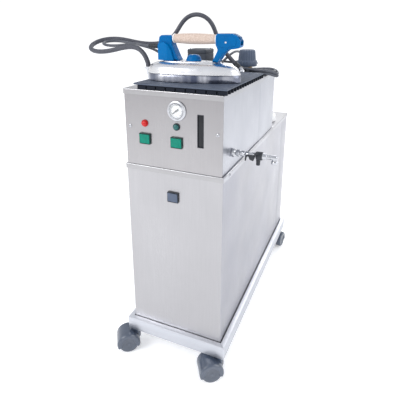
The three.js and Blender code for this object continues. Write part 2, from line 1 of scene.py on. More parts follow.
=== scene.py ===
"""The looks of the steam generator iron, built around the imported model. Metres, +Z up, front towards -Y."""

import json
import math

import bmesh
import bpy
from mathutils import Matrix, Quaternion, Vector


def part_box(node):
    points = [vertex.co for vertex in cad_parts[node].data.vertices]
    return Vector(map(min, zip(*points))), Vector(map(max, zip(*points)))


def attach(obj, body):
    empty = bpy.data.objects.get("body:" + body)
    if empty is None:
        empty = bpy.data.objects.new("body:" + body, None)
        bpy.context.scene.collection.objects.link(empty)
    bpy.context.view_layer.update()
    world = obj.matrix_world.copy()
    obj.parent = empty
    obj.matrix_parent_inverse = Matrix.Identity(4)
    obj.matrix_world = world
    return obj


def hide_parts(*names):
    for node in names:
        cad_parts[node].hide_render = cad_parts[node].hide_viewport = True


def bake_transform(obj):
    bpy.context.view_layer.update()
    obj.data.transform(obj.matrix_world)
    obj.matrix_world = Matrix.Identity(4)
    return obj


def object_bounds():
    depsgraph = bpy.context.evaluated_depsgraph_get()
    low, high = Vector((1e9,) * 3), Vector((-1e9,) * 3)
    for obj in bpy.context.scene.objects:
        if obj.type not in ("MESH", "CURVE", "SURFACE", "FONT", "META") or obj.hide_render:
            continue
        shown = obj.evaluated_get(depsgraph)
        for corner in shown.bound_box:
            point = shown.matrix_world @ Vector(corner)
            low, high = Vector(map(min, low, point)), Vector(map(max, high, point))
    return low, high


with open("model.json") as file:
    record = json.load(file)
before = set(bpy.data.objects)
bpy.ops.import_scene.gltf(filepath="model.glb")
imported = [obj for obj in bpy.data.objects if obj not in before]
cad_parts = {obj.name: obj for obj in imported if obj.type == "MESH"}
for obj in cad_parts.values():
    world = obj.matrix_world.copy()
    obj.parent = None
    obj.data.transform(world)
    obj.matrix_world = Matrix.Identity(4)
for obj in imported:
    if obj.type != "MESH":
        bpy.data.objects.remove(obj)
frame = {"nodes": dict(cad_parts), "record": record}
CAD_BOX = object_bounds()

MM = 0.001
PANEL_LOW, PANEL_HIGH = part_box("upper_front_panel")
FOOT = Vector(((PANEL_LOW.x + PANEL_HIGH.x) / 2, PANEL_LOW.y, 0))
X, Y, Z = Vector((1, 0, 0)), Vector((0, 1, 0)), Vector((0, 0, 1))


def at(x, y, z):
    """A point given in millimetres from the front panel's foot on the floor."""
    return FOOT + Vector((x, y, z)) * MM


def placed(name, data):
    """A new object in the scene."""
    obj = bpy.data.objects.new(name, data)
    bpy.context.scene.collection.objects.link(obj)
    return obj


# ---- camera, floor and light ----
CAMERA_AT = (368.2, -699.8, 827.3)
CAMERA_TURN = {"left": 0.3982, "down": 0.2961, "roll": 0.0039}
LENS = 34.13
SHIFT_UP = -0.157


def camera():
    data = bpy.data.cameras.new("camera")
    data.lens = LENS
    data.sensor_width = 36
    data.shift_y = SHIFT_UP
    data.clip_start = 0.01
    data.clip_end = 50
    obj = placed("camera", data)
    left, down = CAMERA_TURN["left"], CAMERA_TURN["down"]
    ahead = Vector((-math.sin(left) * math.cos(down), math.cos(left) * math.cos(down), -math.sin(down)))
    roll = Quaternion((0, 0, 1), CAMERA_TURN["roll"])
    obj.rotation_mode = "QUATERNION"
    obj.rotation_quaternion = ahead.to_track_quat("-Z", "Y") @ roll
    obj.location = at(*CAMERA_AT)
    bpy.context.scene.camera = obj


def area_light(name, place, target, size, power):
    data = bpy.data.lights.new(name, "AREA")
    data.shape = "RECTANGLE"
    data.size, data.size_y = size
    data.energy = power
    obj = placed(name, data)
    obj.location = place
    obj.rotation_mode = "QUATERNION"
    obj.rotation_quaternion = (Vector(target) - Vector(place)).to_track_quat("-Z", "Y")


def studio():
    scene = bpy.context.scene
    scene.view_settings.view_transform = "Standard"
    world = bpy.data.worlds.new("studio")
    scene.world = world
    world.use_nodes = True
    nodes, links = world.node_tree.nodes, world.node_tree.links
    background = nodes["Background"]
    coordinates = nodes.new("ShaderNodeTexCoord")
    split = nodes.new("ShaderNodeSeparateXYZ")
    ramp = nodes.new("ShaderNodeValToRGB")
    links.new(coordinates.outputs["Generated"], split.inputs[0])
    links.new(split.outputs["Z"], ramp.inputs[0])
    links.new(ramp.outputs[0], background.inputs["Color"])
    ramp.color_ramp.elements[0].position = 0.12
    ramp.color_ramp.elements[0].color = (1.0, 1.0, 1.0, 1)
    ramp.color_ramp.elements[1].position = 0.6
    ramp.color_ramp.elements[1].color = (0.78, 0.80, 0.84, 1)
    background.inputs["Strength"].default_value = 1.06
    middle = (CAD_BOX[0] + CAD_BOX[1]) / 2
    area_light("key", (-1.7, -2.6, 2.6), middle, (1.8, 1.8), 60)
    area_light("side", (2.6, -0.2, 1.9), middle, (1.6, 2.0), 22)
    area_light("rear", (0.2, 3.0, 2.6), middle, (2.4, 1.6), 34)


def floor():
    half = 12.0
    bottom = CAD_BOX[0].z - 0.0004
    mesh = bpy.data.meshes.new("floor")
    corners = [(-half, -half, bottom), (half, -half, bottom), (half, half, bottom), (-half, half, bottom)]
    mesh.from_pydata(corners, [], [(0, 1, 2, 3)])
    obj = placed("floor", mesh)
    surface = Surface("floor_paper", (0.97, 0.97, 0.97), 0.8)
    surface.set("Emission Color", (1, 1, 1, 1))
    surface.set("Emission Strength", 0.3)
    surface.mottle(3, (0.955, 0.955, 0.955), 0.6)
    obj.data.materials.append(surface.material)


# ---- materials ----
class Surface:
    """A procedural material: a principled shader that gets its detail by calls."""

    def __init__(self, name, colour, roughness, metallic=0.0, **sockets):
        self.material = bpy.data.materials.new(name)
        self.material.use_nodes = True
        self.nodes = self.material.node_tree.nodes
        self.links = self.material.node_tree.links
        self.shader = self.nodes["Principled BSDF"]
        self.set("Base Color", (*colour, 1))
        self.set("Roughness", roughness)
        self.set("Metallic", metallic)
        for socket, value in sockets.items():
            self.set(socket.replace("_", " "), value)
        self.colour = None
        self.height = None
        self.place = self.nodes.new("ShaderNodeTexCoord").outputs["Object"]

    def set(self, socket, value):
        self.shader.inputs[socket].default_value = value

    def feed(self, socket, output):
        self.links.new(output, self.shader.inputs[socket])
        return self

    def node(self, kind, inputs, **settings):
        """A new node. Each input gets a value or another node's output."""
        node = self.nodes.new(f"ShaderNode{kind}")
        for key, value in settings.items():
            setattr(node, key, value)
        for socket, value in inputs.items():
            if isinstance(value, bpy.types.NodeSocket):
                self.links.new(value, node.inputs[socket])
            else:
                node.inputs[socket].default_value = value
        return node

    def texture(self, kind, scale, stretch=(1, 1, 1), **inputs):
        """A texture per metre, drawn out along an axis whose stretch is small."""
        mapping = self.node("Mapping", {"Vector": self.place, "Scale": [scale * s for s in stretch]})
        return self.node(kind, {"Vector": mapping.outputs[0], "Scale": 1.0, **inputs})

    def noise(self, scale, detail=3.0, stretch=(1, 1, 1)):
        return self.texture("TexNoise", scale, stretch, Detail=detail).outputs["Fac"]

    def calculate(self, operation, *values):
        return self.node("Math", dict(enumerate(values)), operation=operation).outputs[0]

    def mapped(self, value, start, end, low, high):
        """value moved from start..end to low..high."""
        limits = {"From Min": start, "From Max": end, "To Min": low, "To Max": high}
        return self.node("MapRange", {"Value": value, **limits}).outputs[0]

    def ramp(self, value, low, high):
        """A texture's value moved to low..high, with its contrast stretched about the middle."""
        return self.mapped(value, 0.3, 0.7, low, high)

    def mix_in(self, factor, colour):
        below = self.shader.inputs["Base Color"].default_value if self.colour is None else self.colour
        mix = self.node("Mix", {0: factor, 6: below, 7: (*colour, 1)}, data_type="RGBA")
        self.colour = mix.outputs[2]
        return self.feed("Base Color", self.colour)

    def tint(self, value, colour, amount):
        """Mixes colour in by up to amount where value is high."""
        return self.mix_in(self.ramp(value, 0, amount), colour)

    def mottle(self, scale, colour, amount, detail=4.0, stretch=(1, 1, 1)):
        return self.tint(self.noise(scale, detail, stretch), colour, amount)

    def sheen_of_use(self, scale, low, high):
        """Roughness that wanders between low and high."""
        return self.feed("Roughness", self.ramp(self.noise(scale, 5), low, high))

    def bump(self, value, depth):
        """Adds relief of depth metres."""
        under = {} if self.height is None else {"Normal": self.height}
        relief = {"Distance": depth, "Strength": 1.0, "Height": value, **under}
        self.height = self.node("Bump", relief).outputs[0]
        return self.feed("Normal", self.height)

    def upwards(self, start, end, colour, amount):
        """Painted light and shade by height: mixes colour in from a height of start metres to one of end
        metres.
        """
        height = self.node("SeparateXYZ", {0: self.place}).outputs["Z"]
        return self.mix_in(self.mapped(height, start, end, 0, amount), colour)

    def turned_to(self, axis, colour):
        """Painted light and shade by direction: mixes colour in where the surface looks along +axis."""
        normal = self.node("NewGeometry", {}).outputs["Normal"]
        return self.tint(self.node("SeparateXYZ", {0: normal}).outputs[axis], colour, 1.0)

    def worn_edges(self, colour, amount):
        """Mixes colour in on convex edges."""
        edge = self.node("NewGeometry", {}).outputs["Pointiness"]
        return self.mix_in(self.mapped(edge, 0.52, 0.62, 0, amount), colour)


def dimmed(colour, factor):
    return tuple(c * factor for c in colour)


def brushed(name, colour, along, low=0.27, high=0.4, painted_height_light=None, side=None, lip=None):
    """Brushed stainless steel, with its grain along one axis, hand smudges and a fine scratch relief, plus,
    where asked, painted light and shade that change with height and with the way a face turns.
    """
    fine = tuple(0.012 if axis == along else 1.0 for axis in "xyz")
    surface = Surface(name, colour, 0.34, 1.0)
    # Painted light and shade that change with height.
    if painted_height_light is not None:
        surface.upwards(*painted_height_light)
    # Painted side light: faces turned to +X take the colour given, lighter on the top plate and darker on the
    # lower cabinet.
    if side is not None:
        surface.turned_to("X", side)
    # Painted light: faces turned upwards take a lighter colour.
    if lip is not None:
        surface.turned_to("Z", lip)
    surface.mottle(7, dimmed(colour, 0.9), 0.6)
    surface.mottle(1400, dimmed(colour, 0.86), 0.55, 2, fine)
    grain = surface.ramp(surface.noise(1800, 3, fine), low, high)
    smudge = surface.ramp(surface.noise(9, 5), -0.04, 0.07)
    surface.feed("Roughness", surface.calculate("ADD", grain, smudge))
    surface.bump(surface.noise(1600, 2, fine), 0.000012)
    return surface.material


def polished(name, colour, low=0.05, high=0.16):
    surface = Surface(name, colour, 0.1, 1.0)
    surface.mottle(30, dimmed(colour, 0.9), 0.5)
    surface.sheen_of_use(60, low, high)
    surface.bump(surface.noise(2600, 2), 0.000004)
    return surface.material


def banded(name, colour, painted_reflection_colour):
    """A polished rim whose upright dark bands are painted reflections of its surroundings, over the upright
    relief its buffing leaves.
    """
    surface = Surface(name, colour, 0.28, 1.0)
    # Painted reflections: dark upright bands mixed into the colour.
    for scale, amount, detail in ((34, 1.0, 1), (61, 0.8, 1), (160, 0.4, 2)):
        surface.mottle(scale, painted_reflection_colour, amount, detail, (1, 0.4, 0.01))
    surface.sheen_of_use(80, 0.22, 0.36)
    surface.bump(surface.noise(90, 2, (1, 0.4, 0.02)), 0.00008)
    return surface.material


def moulded(name, colour, light, low=0.35, high=0.5, flow=0.28, wear=0.5, shine=0.5):
    """Moulded plastic: a faint flow mottle, a fine skin and edges rubbed lighter."""
    surface = Surface(name, colour, (low + high) / 2, Specular_IOR_Level=shine)
    surface.mottle(45, light, flow)
    surface.sheen_of_use(35, low, high)
    surface.bump(surface.noise(2200, 2), 0.00003)
    surface.worn_edges(light, wear)
    return surface.material


def cork(name):
    surface = Surface(name, (0.46, 0.35, 0.28), 0.78, Specular_IOR_Level=0.25)
    grains = surface.texture("TexVoronoi", 420).outputs["Distance"]
    surface.tint(grains, (0.62, 0.51, 0.45), 0.9)
    surface.mottle(240, (0.33, 0.22, 0.16), 0.4, 6)
    surface.mottle(900, (0.72, 0.62, 0.56), 0.5, 4)
    surface.sheen_of_use(90, 0.66, 0.85)
    surface.bump(grains, 0.00012)
    surface.bump(surface.noise(1500, 4), 0.00006)
    return surface.material


def rubber(name, colour, dust, low=0.5, high=0.72, shine=0.5):
    surface = Surface(name, colour, 0.6, Specular_IOR_Level=shine)
    surface.mottle(38, dust, 0.45, 6)
    surface.mottle(700, dimmed(colour, 0.7), 0.5)
    surface.sheen_of_use(50, low, high)
    surface.bump(surface.noise(1300, 3), 0.00005)
    surface.worn_edges(dust, 0.4)
    return surface.material


def braided(name, colour, light, turns, pitch):
    """A woven jacket: two families of helical threads drawn in the tube's own coordinates."""
    surface = Surface(name, colour, 0.55)
    jacket = surface.node("UVMap", {}, uv_map="along").outputs[0]
    lengthways, around, _ = surface.node("SeparateXYZ", {0: jacket}).outputs
    threads = []
    for sign in (1, -1):
        turned = surface.calculate("MULTIPLY", around, sign * turns * 2 * math.pi)
        helix = surface.calculate("MULTIPLY_ADD", lengthways, 2 * math.pi / pitch, turned)
        threads.append(surface.calculate("SINE", helix))
    half = surface.calculate("MULTIPLY", threads[0], 0.5)
    weave = surface.calculate("MULTIPLY_ADD", half, threads[1], 0.5)
    surface.tint(weave, light, 0.55)
    surface.mottle(60, light, 0.3)
    surface.sheen_of_use(40, 0.45, 0.62)
    surface.bump(weave, 0.00018)
    return surface.material


def translucent(name, colour, light, glow, coat=0.6):
    surface = Surface(name, colour, 0.16, Coat_Weight=coat, Coat_Roughness=0.06, Specular_IOR_Level=0.2)
    surface.set("Emission Color", (*colour, 1))
    surface.set("Emission Strength", glow)
    surface.mottle(160, light, 0.4)
    surface.sheen_of_use(120, 0.12, 0.24)
    surface.bump(surface.noise(420, 2), 0.00005)
    return surface.material


def clear(name):
    surface = Surface(name, (0.95, 0.97, 0.98), 0.05, Alpha=0.13)
    surface.mottle(80, (0.85, 0.9, 0.92), 0.5)
    surface.bump(surface.noise(140, 2), 0.000004)
    return surface.material


def print_ink(name, colour):
    surface = Surface(name, colour, 0.5)
    surface.mottle(900, tuple(min(1, c + 0.06) for c in colour), 0.6)
    surface.bump(surface.noise(2400, 2), 0.000006)
    return surface.material


def materials():
    return {
        # The front panel is painted darker towards its top (painted shade) and the side sheets lighter
        # towards their top (painted light).
        "panel": brushed("steel_panel", (0.40, 0.39, 0.40), "z", painted_height_light=(0.53, 0.69, (0.30, 0.29, 0.30), 1.0)),
        "side": brushed("steel_side", (0.43, 0.44, 0.48), "z", painted_height_light=(0.52, 0.69, (0.49, 0.50, 0.54), 0.9)),
        # The top plate's faces turned to +X and upwards are painted lighter than its front skirt: painted
        # light.
        "top": brushed("steel_top", (0.41, 0.405, 0.415), "y", side=(0.50, 0.51, 0.55),
                       lip=(0.52, 0.525, 0.55)),
        # The tray's upward faces are painted much lighter: a painted highlight along its lip.
        "tray": brushed("steel_tray", (0.55, 0.565, 0.61), "x", 0.3, 0.44, lip=(0.78, 0.79, 0.83)),
        "boiler": brushed("steel_boiler", (0.66, 0.66, 0.65), "y", 0.3, 0.45),
        "chrome": polished("polished_chrome", (0.74, 0.75, 0.78)),
        "cover": polished("iron_cover_chrome", (0.74, 0.745, 0.77), 0.2, 0.36),
        # The sole's dark blue-grey upright bands are painted reflections.
        "sole": banded("sole_aluminium", (0.84, 0.85, 0.9), (0.09, 0.105, 0.16)),
        "satin": polished("satin_nickel", (0.56, 0.57, 0.6), 0.3, 0.42),
        "nickel": polished("bright_nickel", (0.5, 0.51, 0.54), 0.1, 0.22),
        "brass": polished("brass", (0.72, 0.53, 0.25), 0.2, 0.36),
        "blue": moulded("blue_phenolic", (0.0, 0.1, 0.305), (0.0, 0.18, 0.46), 0.2, 0.32, flow=0.2,
                        shine=0.09),
        "blue_dark": moulded("blue_trigger", (0.0, 0.05, 0.16), (0.0, 0.12, 0.3), 0.25, 0.4, shine=0.09),
        "cork": cork("cork_grip"),
        "black": moulded("black_plastic", (0.014, 0.016, 0.021), (0.05, 0.056, 0.068), shine=0.35),
        "slate": moulded("slate_plastic", (0.058, 0.08, 0.13), (0.12, 0.15, 0.21), 0.34, 0.5, shine=0.4),
        "box": moulded("box_plastic", (0.028, 0.035, 0.048), (0.08, 0.09, 0.11), 0.38, 0.55, shine=0.35),
        "castor": moulded("castor_nylon", (0.05, 0.066, 0.1), (0.15, 0.19, 0.27), 0.16, 0.26, flow=0.1,
                          wear=0.2, shine=0.9),
        # The lower cabinet's faces turned to +X are painted darker: painted shade on that side.
        "lower": brushed("steel_lower", (0.44, 0.435, 0.45), "z", side=(0.335, 0.34, 0.39)),
        "wheel": moulded("castor_wheel", (0.078, 0.092, 0.12), (0.17, 0.2, 0.26), 0.32, 0.45, flow=0.12,
                         wear=0.3),
        "ribs": rubber("mat_ribs", (0.005, 0.007, 0.012), (0.016, 0.02, 0.032), shine=0.12),
        "mat": rubber("mat_rubber", (0.03, 0.041, 0.066), (0.09, 0.115, 0.17), 0.45, 0.68),
        "hose": braided("hose_jacket", (0.028, 0.03, 0.042), (0.09, 0.095, 0.12), 9, 0.0042),
        "cable": rubber("cable_jacket", (0.04, 0.045, 0.06), (0.13, 0.14, 0.175), 0.34, 0.5),
        "green": translucent("switch_green", (0.0, 0.16, 0.11), (0.0, 0.27, 0.19), 0.06, 0.0),
        "frame": moulded("switch_frame", (0.008, 0.035, 0.032), (0.03, 0.08, 0.074), shine=0.3),
        "lamp_red": translucent("lamp_red", (0.42, 0.006, 0.01), (0.7, 0.05, 0.03), 0.1, 0.3),
        "lamp_green": translucent("lamp_green", (0.006, 0.075, 0.075), (0.03, 0.2, 0.19), 0.02),
        "white": moulded("tank_white", (0.8, 0.81, 0.82), (0.9, 0.9, 0.9), 0.35, 0.5),
        "dial": print_ink("dial_white", (0.86, 0.87, 0.88)),
        "ink": print_ink("dial_ink", (0.02, 0.02, 0.024)),
        "mark": print_ink("mark_white", (0.7, 0.82, 0.78)),
        "glass": clear("gauge_glass"),
        "dark_glass": moulded("level_glass", (0.008, 0.009, 0.012), (0.02, 0.022, 0.026), 0.1, 0.2,
                              shine=0.25),
    }


# ---- mesh helpers ----
def mesh_piece(name, vertices, faces):
    mesh = bpy.data.meshes.new(name)
    mesh.from_pydata([tuple(v) for v in vertices], [], faces)
    bm = bmesh.new()
    bm.from_mesh(mesh)
    bmesh.ops.remove_doubles(bm, verts=bm.verts, dist=1e-7)
    bmesh.ops.recalc_face_normals(bm, faces=bm.faces)
    bm.to_mesh(mesh)
    bm.free()
    return placed(name, mesh)


def loft(name, rings):
    """A closed skin through rings of equal length, capped at both ends."""
    count = len(rings[0])
    vertices = [v for ring in rings for v in ring]
    faces = []
    for r in range(len(rings) - 1):
        for i in range(count):
            j = (i + 1) % count
            faces.append((r * count + i, r * count + j, (r + 1) * count + j, (r + 1) * count + i))
    faces.append(tuple(range(count))[::-1])
    faces.append(tuple((len(rings) - 1) * count + i for i in range(count)))
    return mesh_piece(name, vertices, faces)


def basis(origin, axis):
    """Turns +Z to axis and moves the origin."""
    return Matrix.Translation(origin) @ Vector(axis).to_track_quat("Z", "X").to_matrix().to_4x4()


def lathe(name, profile, origin, axis=Z, sides=48, shape=None):
    """Turned piece: (radius, height) pairs in millimetres along axis; shape may change a radius by angle."""
    place = basis(origin, axis)
    rings = []
    for radius, height in profile:
        ring = []
        for i in range(sides):
            angle = 2 * math.pi * i / sides
            r = max(radius, 0.001)
            if shape is not None:
                r = shape(angle, r, height)
            ring.append(place @ (Vector((r * math.cos(angle), r * math.sin(angle), height)) * MM))
        rings.append(ring)
    return loft(name, rings)


def rounded(points, radius, steps=4):
    """A closed outline of (a, b) points with its corners rounded; a point may carry its own radius."""
    out = []
    count = len(points)
    for i, point in enumerate(points):
        here = Vector(point[:2])
        before = Vector(points[i - 1][:2]) - here
        after = Vector(points[(i + 1) % count][:2]) - here
        r = point[2] if len(point) > 2 else radius
        angle = before.angle(after)
        reach = min(r / math.tan(angle / 2), before.length * 0.48, after.length * 0.48)
        if r < 1e-6 or reach < 1e-6:
            out.append(tuple(here))
            continue
        start, end = here + before.normalized() * reach, here + after.normalized() * reach
        for k in range(steps + 1):
            t = k / steps
            out.append(tuple((1 - t) ** 2 * start + 2 * t * (1 - t) * here + t * t * end))
    return out


LIFT = {
    "xz": lambda a, b, t: at(a, t, b),
    "xy": lambda a, b, t: at(a, b, t),
    "yz": lambda a, b, t: at(t, a, b),
}


def prism(name, outline, near, far, plane):
    """An outline in millimetres given its thickness from near to far across its plane: xz, xy or yz."""
    return loft(name, [[LIFT[plane](a, b, t) for a, b in outline] for t in (near, far)])


def oblong(x0, x1, y0, y1, radius, steps=5):
    return rounded([(x0, y0), (x1, y0), (x1, y1), (x0, y1)], radius, steps)


def stacked(name, box, layers, radius, steps=5):
    """Rounded rectangles stacked along z: layers are (inset, height) and box is x0, x1, y0, y1."""
    x0, x1, y0, y1 = box
    rings = []
    for inset, z in layers:
        corner = max(radius - inset, 0.3)
        plan = oblong(x0 + inset, x1 - inset, y0 + inset, y1 - inset, corner, steps)
        rings.append([at(a, b, z) for a, b in plan])
    return loft(name, rings)


def bevel(obj, width, angle=35):
    modifier = obj.modifiers.new("edges", "BEVEL")
    modifier.width = width * MM
    modifier.segments = 2
    modifier.limit_method = "ANGLE"
    modifier.angle_limit = math.radians(angle)
    modifier.miter_outer = "MITER_ARC"
    return obj


def smooth(obj, angle=32):
    obj.data.shade_smooth()
    obj.data.set_sharp_from_angle(angle=math.radians(angle))
    return obj


def applied(obj):
    """Turns the modifiers into mesh."""
    depsgraph = bpy.context.evaluated_depsgraph_get()
    mesh = bpy.data.meshes.new_from_object(obj.evaluated_get(depsgraph))
    obj.modifiers.clear()
    obj.data = mesh
    return obj


def carve(obj, *cutters, operation="DIFFERENCE"):
    """Cuts each cutter out of obj and deletes it."""
    for cutter in cutters:
        modifier = obj.modifiers.new("carve", "BOOLEAN")
        modifier.object = cutter
        modifier.operation = operation
        modifier.solver = "EXACT"
        applied(obj)
        bpy.data.objects.remove(cutter)
    return obj


def dress(obj, look):
    obj.data.materials.clear()
    obj.data.materials.append(LOOK[look])
    return obj


def merge(obj, *others):
    """Adds the others' meshes to obj, all in its one material, and deletes them."""
    bm = bmesh.new()
    for part in (obj, *others):
        applied(part)
        start = len(bm.faces)
        bm.from_mesh(part.data)
        bm.faces.ensure_lookup_table()
        for face in bm.faces[start:]:
            face.material_index = 0
    bm.to_mesh(obj.data)
    bm.free()
    for part in others:
        bpy.data.objects.remove(part)
    return obj


def finish(obj, look, *nodes, body="cabinet", slot=None, angle=32):
    """Gives a piece its material, smooth shading and body, and hides the CAD nodes it stands for; slot is not
    used.
    """
    dress(obj, look)
    smooth(obj, angle)
    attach(obj, body)
    if nodes:
        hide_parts(*nodes)
    return obj


def keep(node, look):
    """A CAD node that stays: a better material and softened edges."""
    obj = dress(frame["nodes"][node], look)
    flat = obj.modifiers.new("flat", "DECIMATE")
    flat.decimate_type = "DISSOLVE"
    flat.angle_limit = math.radians(0.5)
    bevel(obj, 0.5, 40)


def offset(outline, distance):
    """A closed outline moved inwards by distance."""
    count = len(outline)
    area = sum(a[0] * b[1] - b[0] * a[1] for a, b in zip(outline, outline[1:] + outline[:1]))
    sign = 1 if area > 0 else -1
    out = []
    for i, point in enumerate(outline):
        here = Vector(point)
        back = (here - Vector(outline[i - 1])).normalized()
        on = (Vector(outline[(i + 1) % count]) - here).normalized()
        inward = Vector((-(back.y + on.y), back.x + on.x)).normalized() * sign
        spread = max(inward.dot(Vector((-on.y, on.x)) * sign), 0.5)
        out.append(tuple(here + inward * distance / spread))
    return out


def pillow(name, outline, near, far, plane, edge, steps=4):
    """An outline given its thickness from near to far, with both rims rounded by edge."""
    layers = []
    for k in range(steps + 1):
        angle = math.pi / 2 * k / steps
        layers.append((edge * (1 - math.sin(angle)), near + edge * (1 - math.cos(angle))))
    layers += [(inset, near + far - t) for inset, t in reversed(layers)]
    return loft(name, [[LIFT[plane](a, b, t) for a, b in offset(outline, inset)] for inset, t in layers])


def blocks(name, boxes):
    """One mesh of many separate blocks, each x0, x1, y0, y1, z0, z1."""
    vertices, faces = [], []
    for x0, x1, y0, y1, z0, z1 in boxes:
        n = len(vertices)
        vertices += [at(x, y, z) for z in (z0, z1) for x, y in ((x0, y0), (x1, y0), (x1, y1), (x0, y1))]
        faces += [(n + 3, n + 2, n + 1, n), (n + 4, n + 5, n + 6, n + 7)]
        faces += [(n + i, n + (i + 1) % 4, n + 4 + (i + 1) % 4, n + 4 + i) for i in range(4)]
    return mesh_piece(name, vertices, faces)


def rod(name, radius, start, end, sides=32):
    """A plain round bar between two points in millimetres, used as a cutter or merged into a piece."""
    a, b = at(*start), at(*end)
    return lathe(name, [(radius, 0), (radius, (b - a).length / MM)], a, b - a, sides)


def moved(obj, matrix, name):
    """A copy of a piece's mesh, placed by matrix."""
    mesh = obj.data.copy()
    mesh.transform(matrix)
    mesh.name = name
    return placed(name, mesh)


def screw_pattern(radius):
    """A domed screw head with a cross recess, standing on the origin along +Z."""
    profile = [
        (radius * 0.94, -0.2), (radius, 0.15), (radius, 0.5), (radius * 0.93, 1.0), (radius * 0.75, 1.6),
        (radius * 0.5, 2.05), (radius * 0.25, 2.3), (0.1, 2.38),
    ]
    head = lathe("screw_pattern", profile, Vector((0, 0, 0)), Z, 28)
    for turn in (0, 90):
        arm, slot = radius * 0.62, radius * 0.15
        c, s = math.cos(math.radians(turn)), math.sin(math.radians(turn))
        corners = [(-arm, -slot), (arm, -slot), (arm, slot), (-arm, slot)]
        rings = []
        for z, shrink in ((0.8, 0.5), (4.0, 1.3)):
            rings.append([Vector(((a * c - b * s) * shrink, (a * s + b * c) * shrink, z)) * MM for a,
                          b in corners])
        carve(head, loft("cross", rings))
    return head


def screws(pattern, places):
    """places: name, point in millimetres, outward axis, body."""
    for index, (name, point, axis, body) in enumerate(places):
        spin = Matrix.Rotation(math.radians(17 + 47 * index), 4, "Z")
        piece = moved(pattern, basis(at(*point), axis) @ spin, name)
        finish(piece, "nickel", body=body)


# ---- cords ----
def curve_through(points, per=6):
    """Points of a centripetal Catmull-Rom curve through the given ones."""
    ends = [points[0] * 2 - points[1], *points, points[-1] * 2 - points[-2]]
    out = []
    for p0, p1, p2, p3 in zip(ends, ends[1:], ends[2:], ends[3:]):
        t0 = 0.0
        t1 = t0 + (p1 - p0).length ** 0.5
        t2 = t1 + (p2 - p1).length ** 0.5
        t3 = t2 + (p3 - p2).length ** 0.5
        for k in range(per):
            t = t1 + (t2 - t1) * k / per
            a1 = p0 * ((t1 - t) / (t1 - t0)) + p1 * ((t - t0) / (t1 - t0))
            a2 = p1 * ((t2 - t) / (t2 - t1)) + p2 * ((t - t1) / (t2 - t1))
            a3 = p2 * ((t3 - t) / (t3 - t2)) + p3 * ((t - t2) / (t3 - t2))
            b1 = a1 * ((t2 - t) / (t2 - t0)) + a2 * ((t - t0) / (t2 - t0))
            b2 = a2 * ((t3 - t) / (t3 - t1)) + a3 * ((t - t1) / (t3 - t1))
            out.append(b1 * ((t2 - t) / (t2 - t1)) + b2 * ((t - t1) / (t2 - t1)))
    out.append(points[-1].copy())
    return out


def tube(name, path, diameter, sides):
    """A round tube along path, with coordinates along and around it for its jacket's weave."""
    along = [0.0]
    for a, b in zip(path, path[1:]):
        along.append(along[-1] + (b - a).length)
    last = len(path) - 1
    side = (path[1] - path[0]).orthogonal().normalized()
    vertices = []
    for i, point in enumerate(path):
        heading = (path[min(i + 1, last)] - path[max(i - 1, 0)]).normalized()
        side = (side - heading * side.dot(heading)).normalized()
        other = heading.cross(side)
        for k in range(sides):
            angle = 2 * math.pi * k / sides
            vertices.append(point + (side * math.cos(angle) + other * math.sin(angle)) * (diameter / 2))
    corners = [[(i, k), (i, k + 1), (i + 1, k + 1), (i + 1, k)] for i in range(last) for k in range(sides)]
    corners += [[(0, k) for k in reversed(range(sides))], [(last, k) for k in range(sides)]]
    mesh = bpy.data.meshes.new(name)
    faces = [[i * sides + k % sides for i, k in face] for face in corners]
    mesh.from_pydata([tuple(v) for v in vertices], [], faces)
    layer = mesh.uv_layers.new(name="along")
    for uv, (i, k) in zip(layer.data, [corner for face in corners for corner in face]):
        uv.uv = (along[i], k / sides)
    return placed(name, mesh)


HOSE, CABLE, LEAD = 0.011, 0.007, 0.007
HOSE_ROUTE = [
    (45.2, 290, 717.5), (32, 288, 731), (16, 283, 749), (3, 276, 770), (-5, 268, 794), (-11, 261, 818),
    (-26, 255, 838), (-50, 251, 847), (-75, 248, 842), (-94, 245, 824), (-106, 241, 802), (-122, 236, 783),
    (-143, 230, 774), (-166, 221, 771), (-188, 212, 772), (-212, 203, 776), (-238, 195, 782),
    (-262, 190, 784), (-284, 180, 783), (-297, 163, 778), (-300.5, 144, 772), (-295, 124, 765),
    (-279, 108, 759), (-258, 100.5, 756), (-232, 99, 757), (-204, 101, 762), (-174, 100, 769),
    (-148, 97, 771), (-126, 92, 766), (-110, 89, 750.4), (-105.4, 88.2, 739.8), (-104, 88, 728.4),
]
CABLE_ROUTE = [
    (-100.2, 88, 775), (-108, 88.8, 775), (-120, 94, 775), (-138, 107, 776), (-160, 121, 776),
    (-188, 128, 773), (-216, 127, 770), (-244, 127, 770), (-264, 136, 773), (-272, 155, 777),
    (-260, 173, 779), (-236, 180, 778), (-208, 184, 773), (-190, 189, 769.4), (-172, 196, 765),
    (-158, 207, 759), (-147, 223, 748), (-139, 243, 733), (-134, 262, 718), (-127, 279, 707),
    (-115, 291, 701), (-104, 295.4, 700), (-93.6, 296, 700),
]
LEAD_START = [
    (10, 475.8, 640), (10, 486, 641), (9.5, 500, 647), (8.5, 510, 659), (7.5, 514, 675), (6, 511, 692),
    (4.5, 501, 709), (3, 486, 724), (1, 466, 736), (-1, 440, 743), (-4, 414, 743), (-8, 390, 737),
    (-13, 370, 728), (-18, 350, 718), (-21, 332, 711.5), (-22.8, 314, 709.8),
]
LEAD_FINISH = [
    (-14, 344, 700), (-29, 350, 704), (-43, 364, 710), (-49.5, 382, 714), (-50, 401, 715), (-46, 416, 714),
    (-35, 427, 712.5), (-20, 431, 711), (-14.3, 431, 711),
]
HANK = {"x": 8, "y": 311, "turn": 25, "run": 114, "bulb": 33, "waist": 17.5, "edge": 117, "droop": 0.4}
HANK_START, HANK_END = 0.02, 3.86


def ease(value, start, end):
    """0 before start, 1 after end and smooth between."""
    t = min(max((value - start) / (end - start), 0), 1)
    return t * t * (3 - 2 * t)


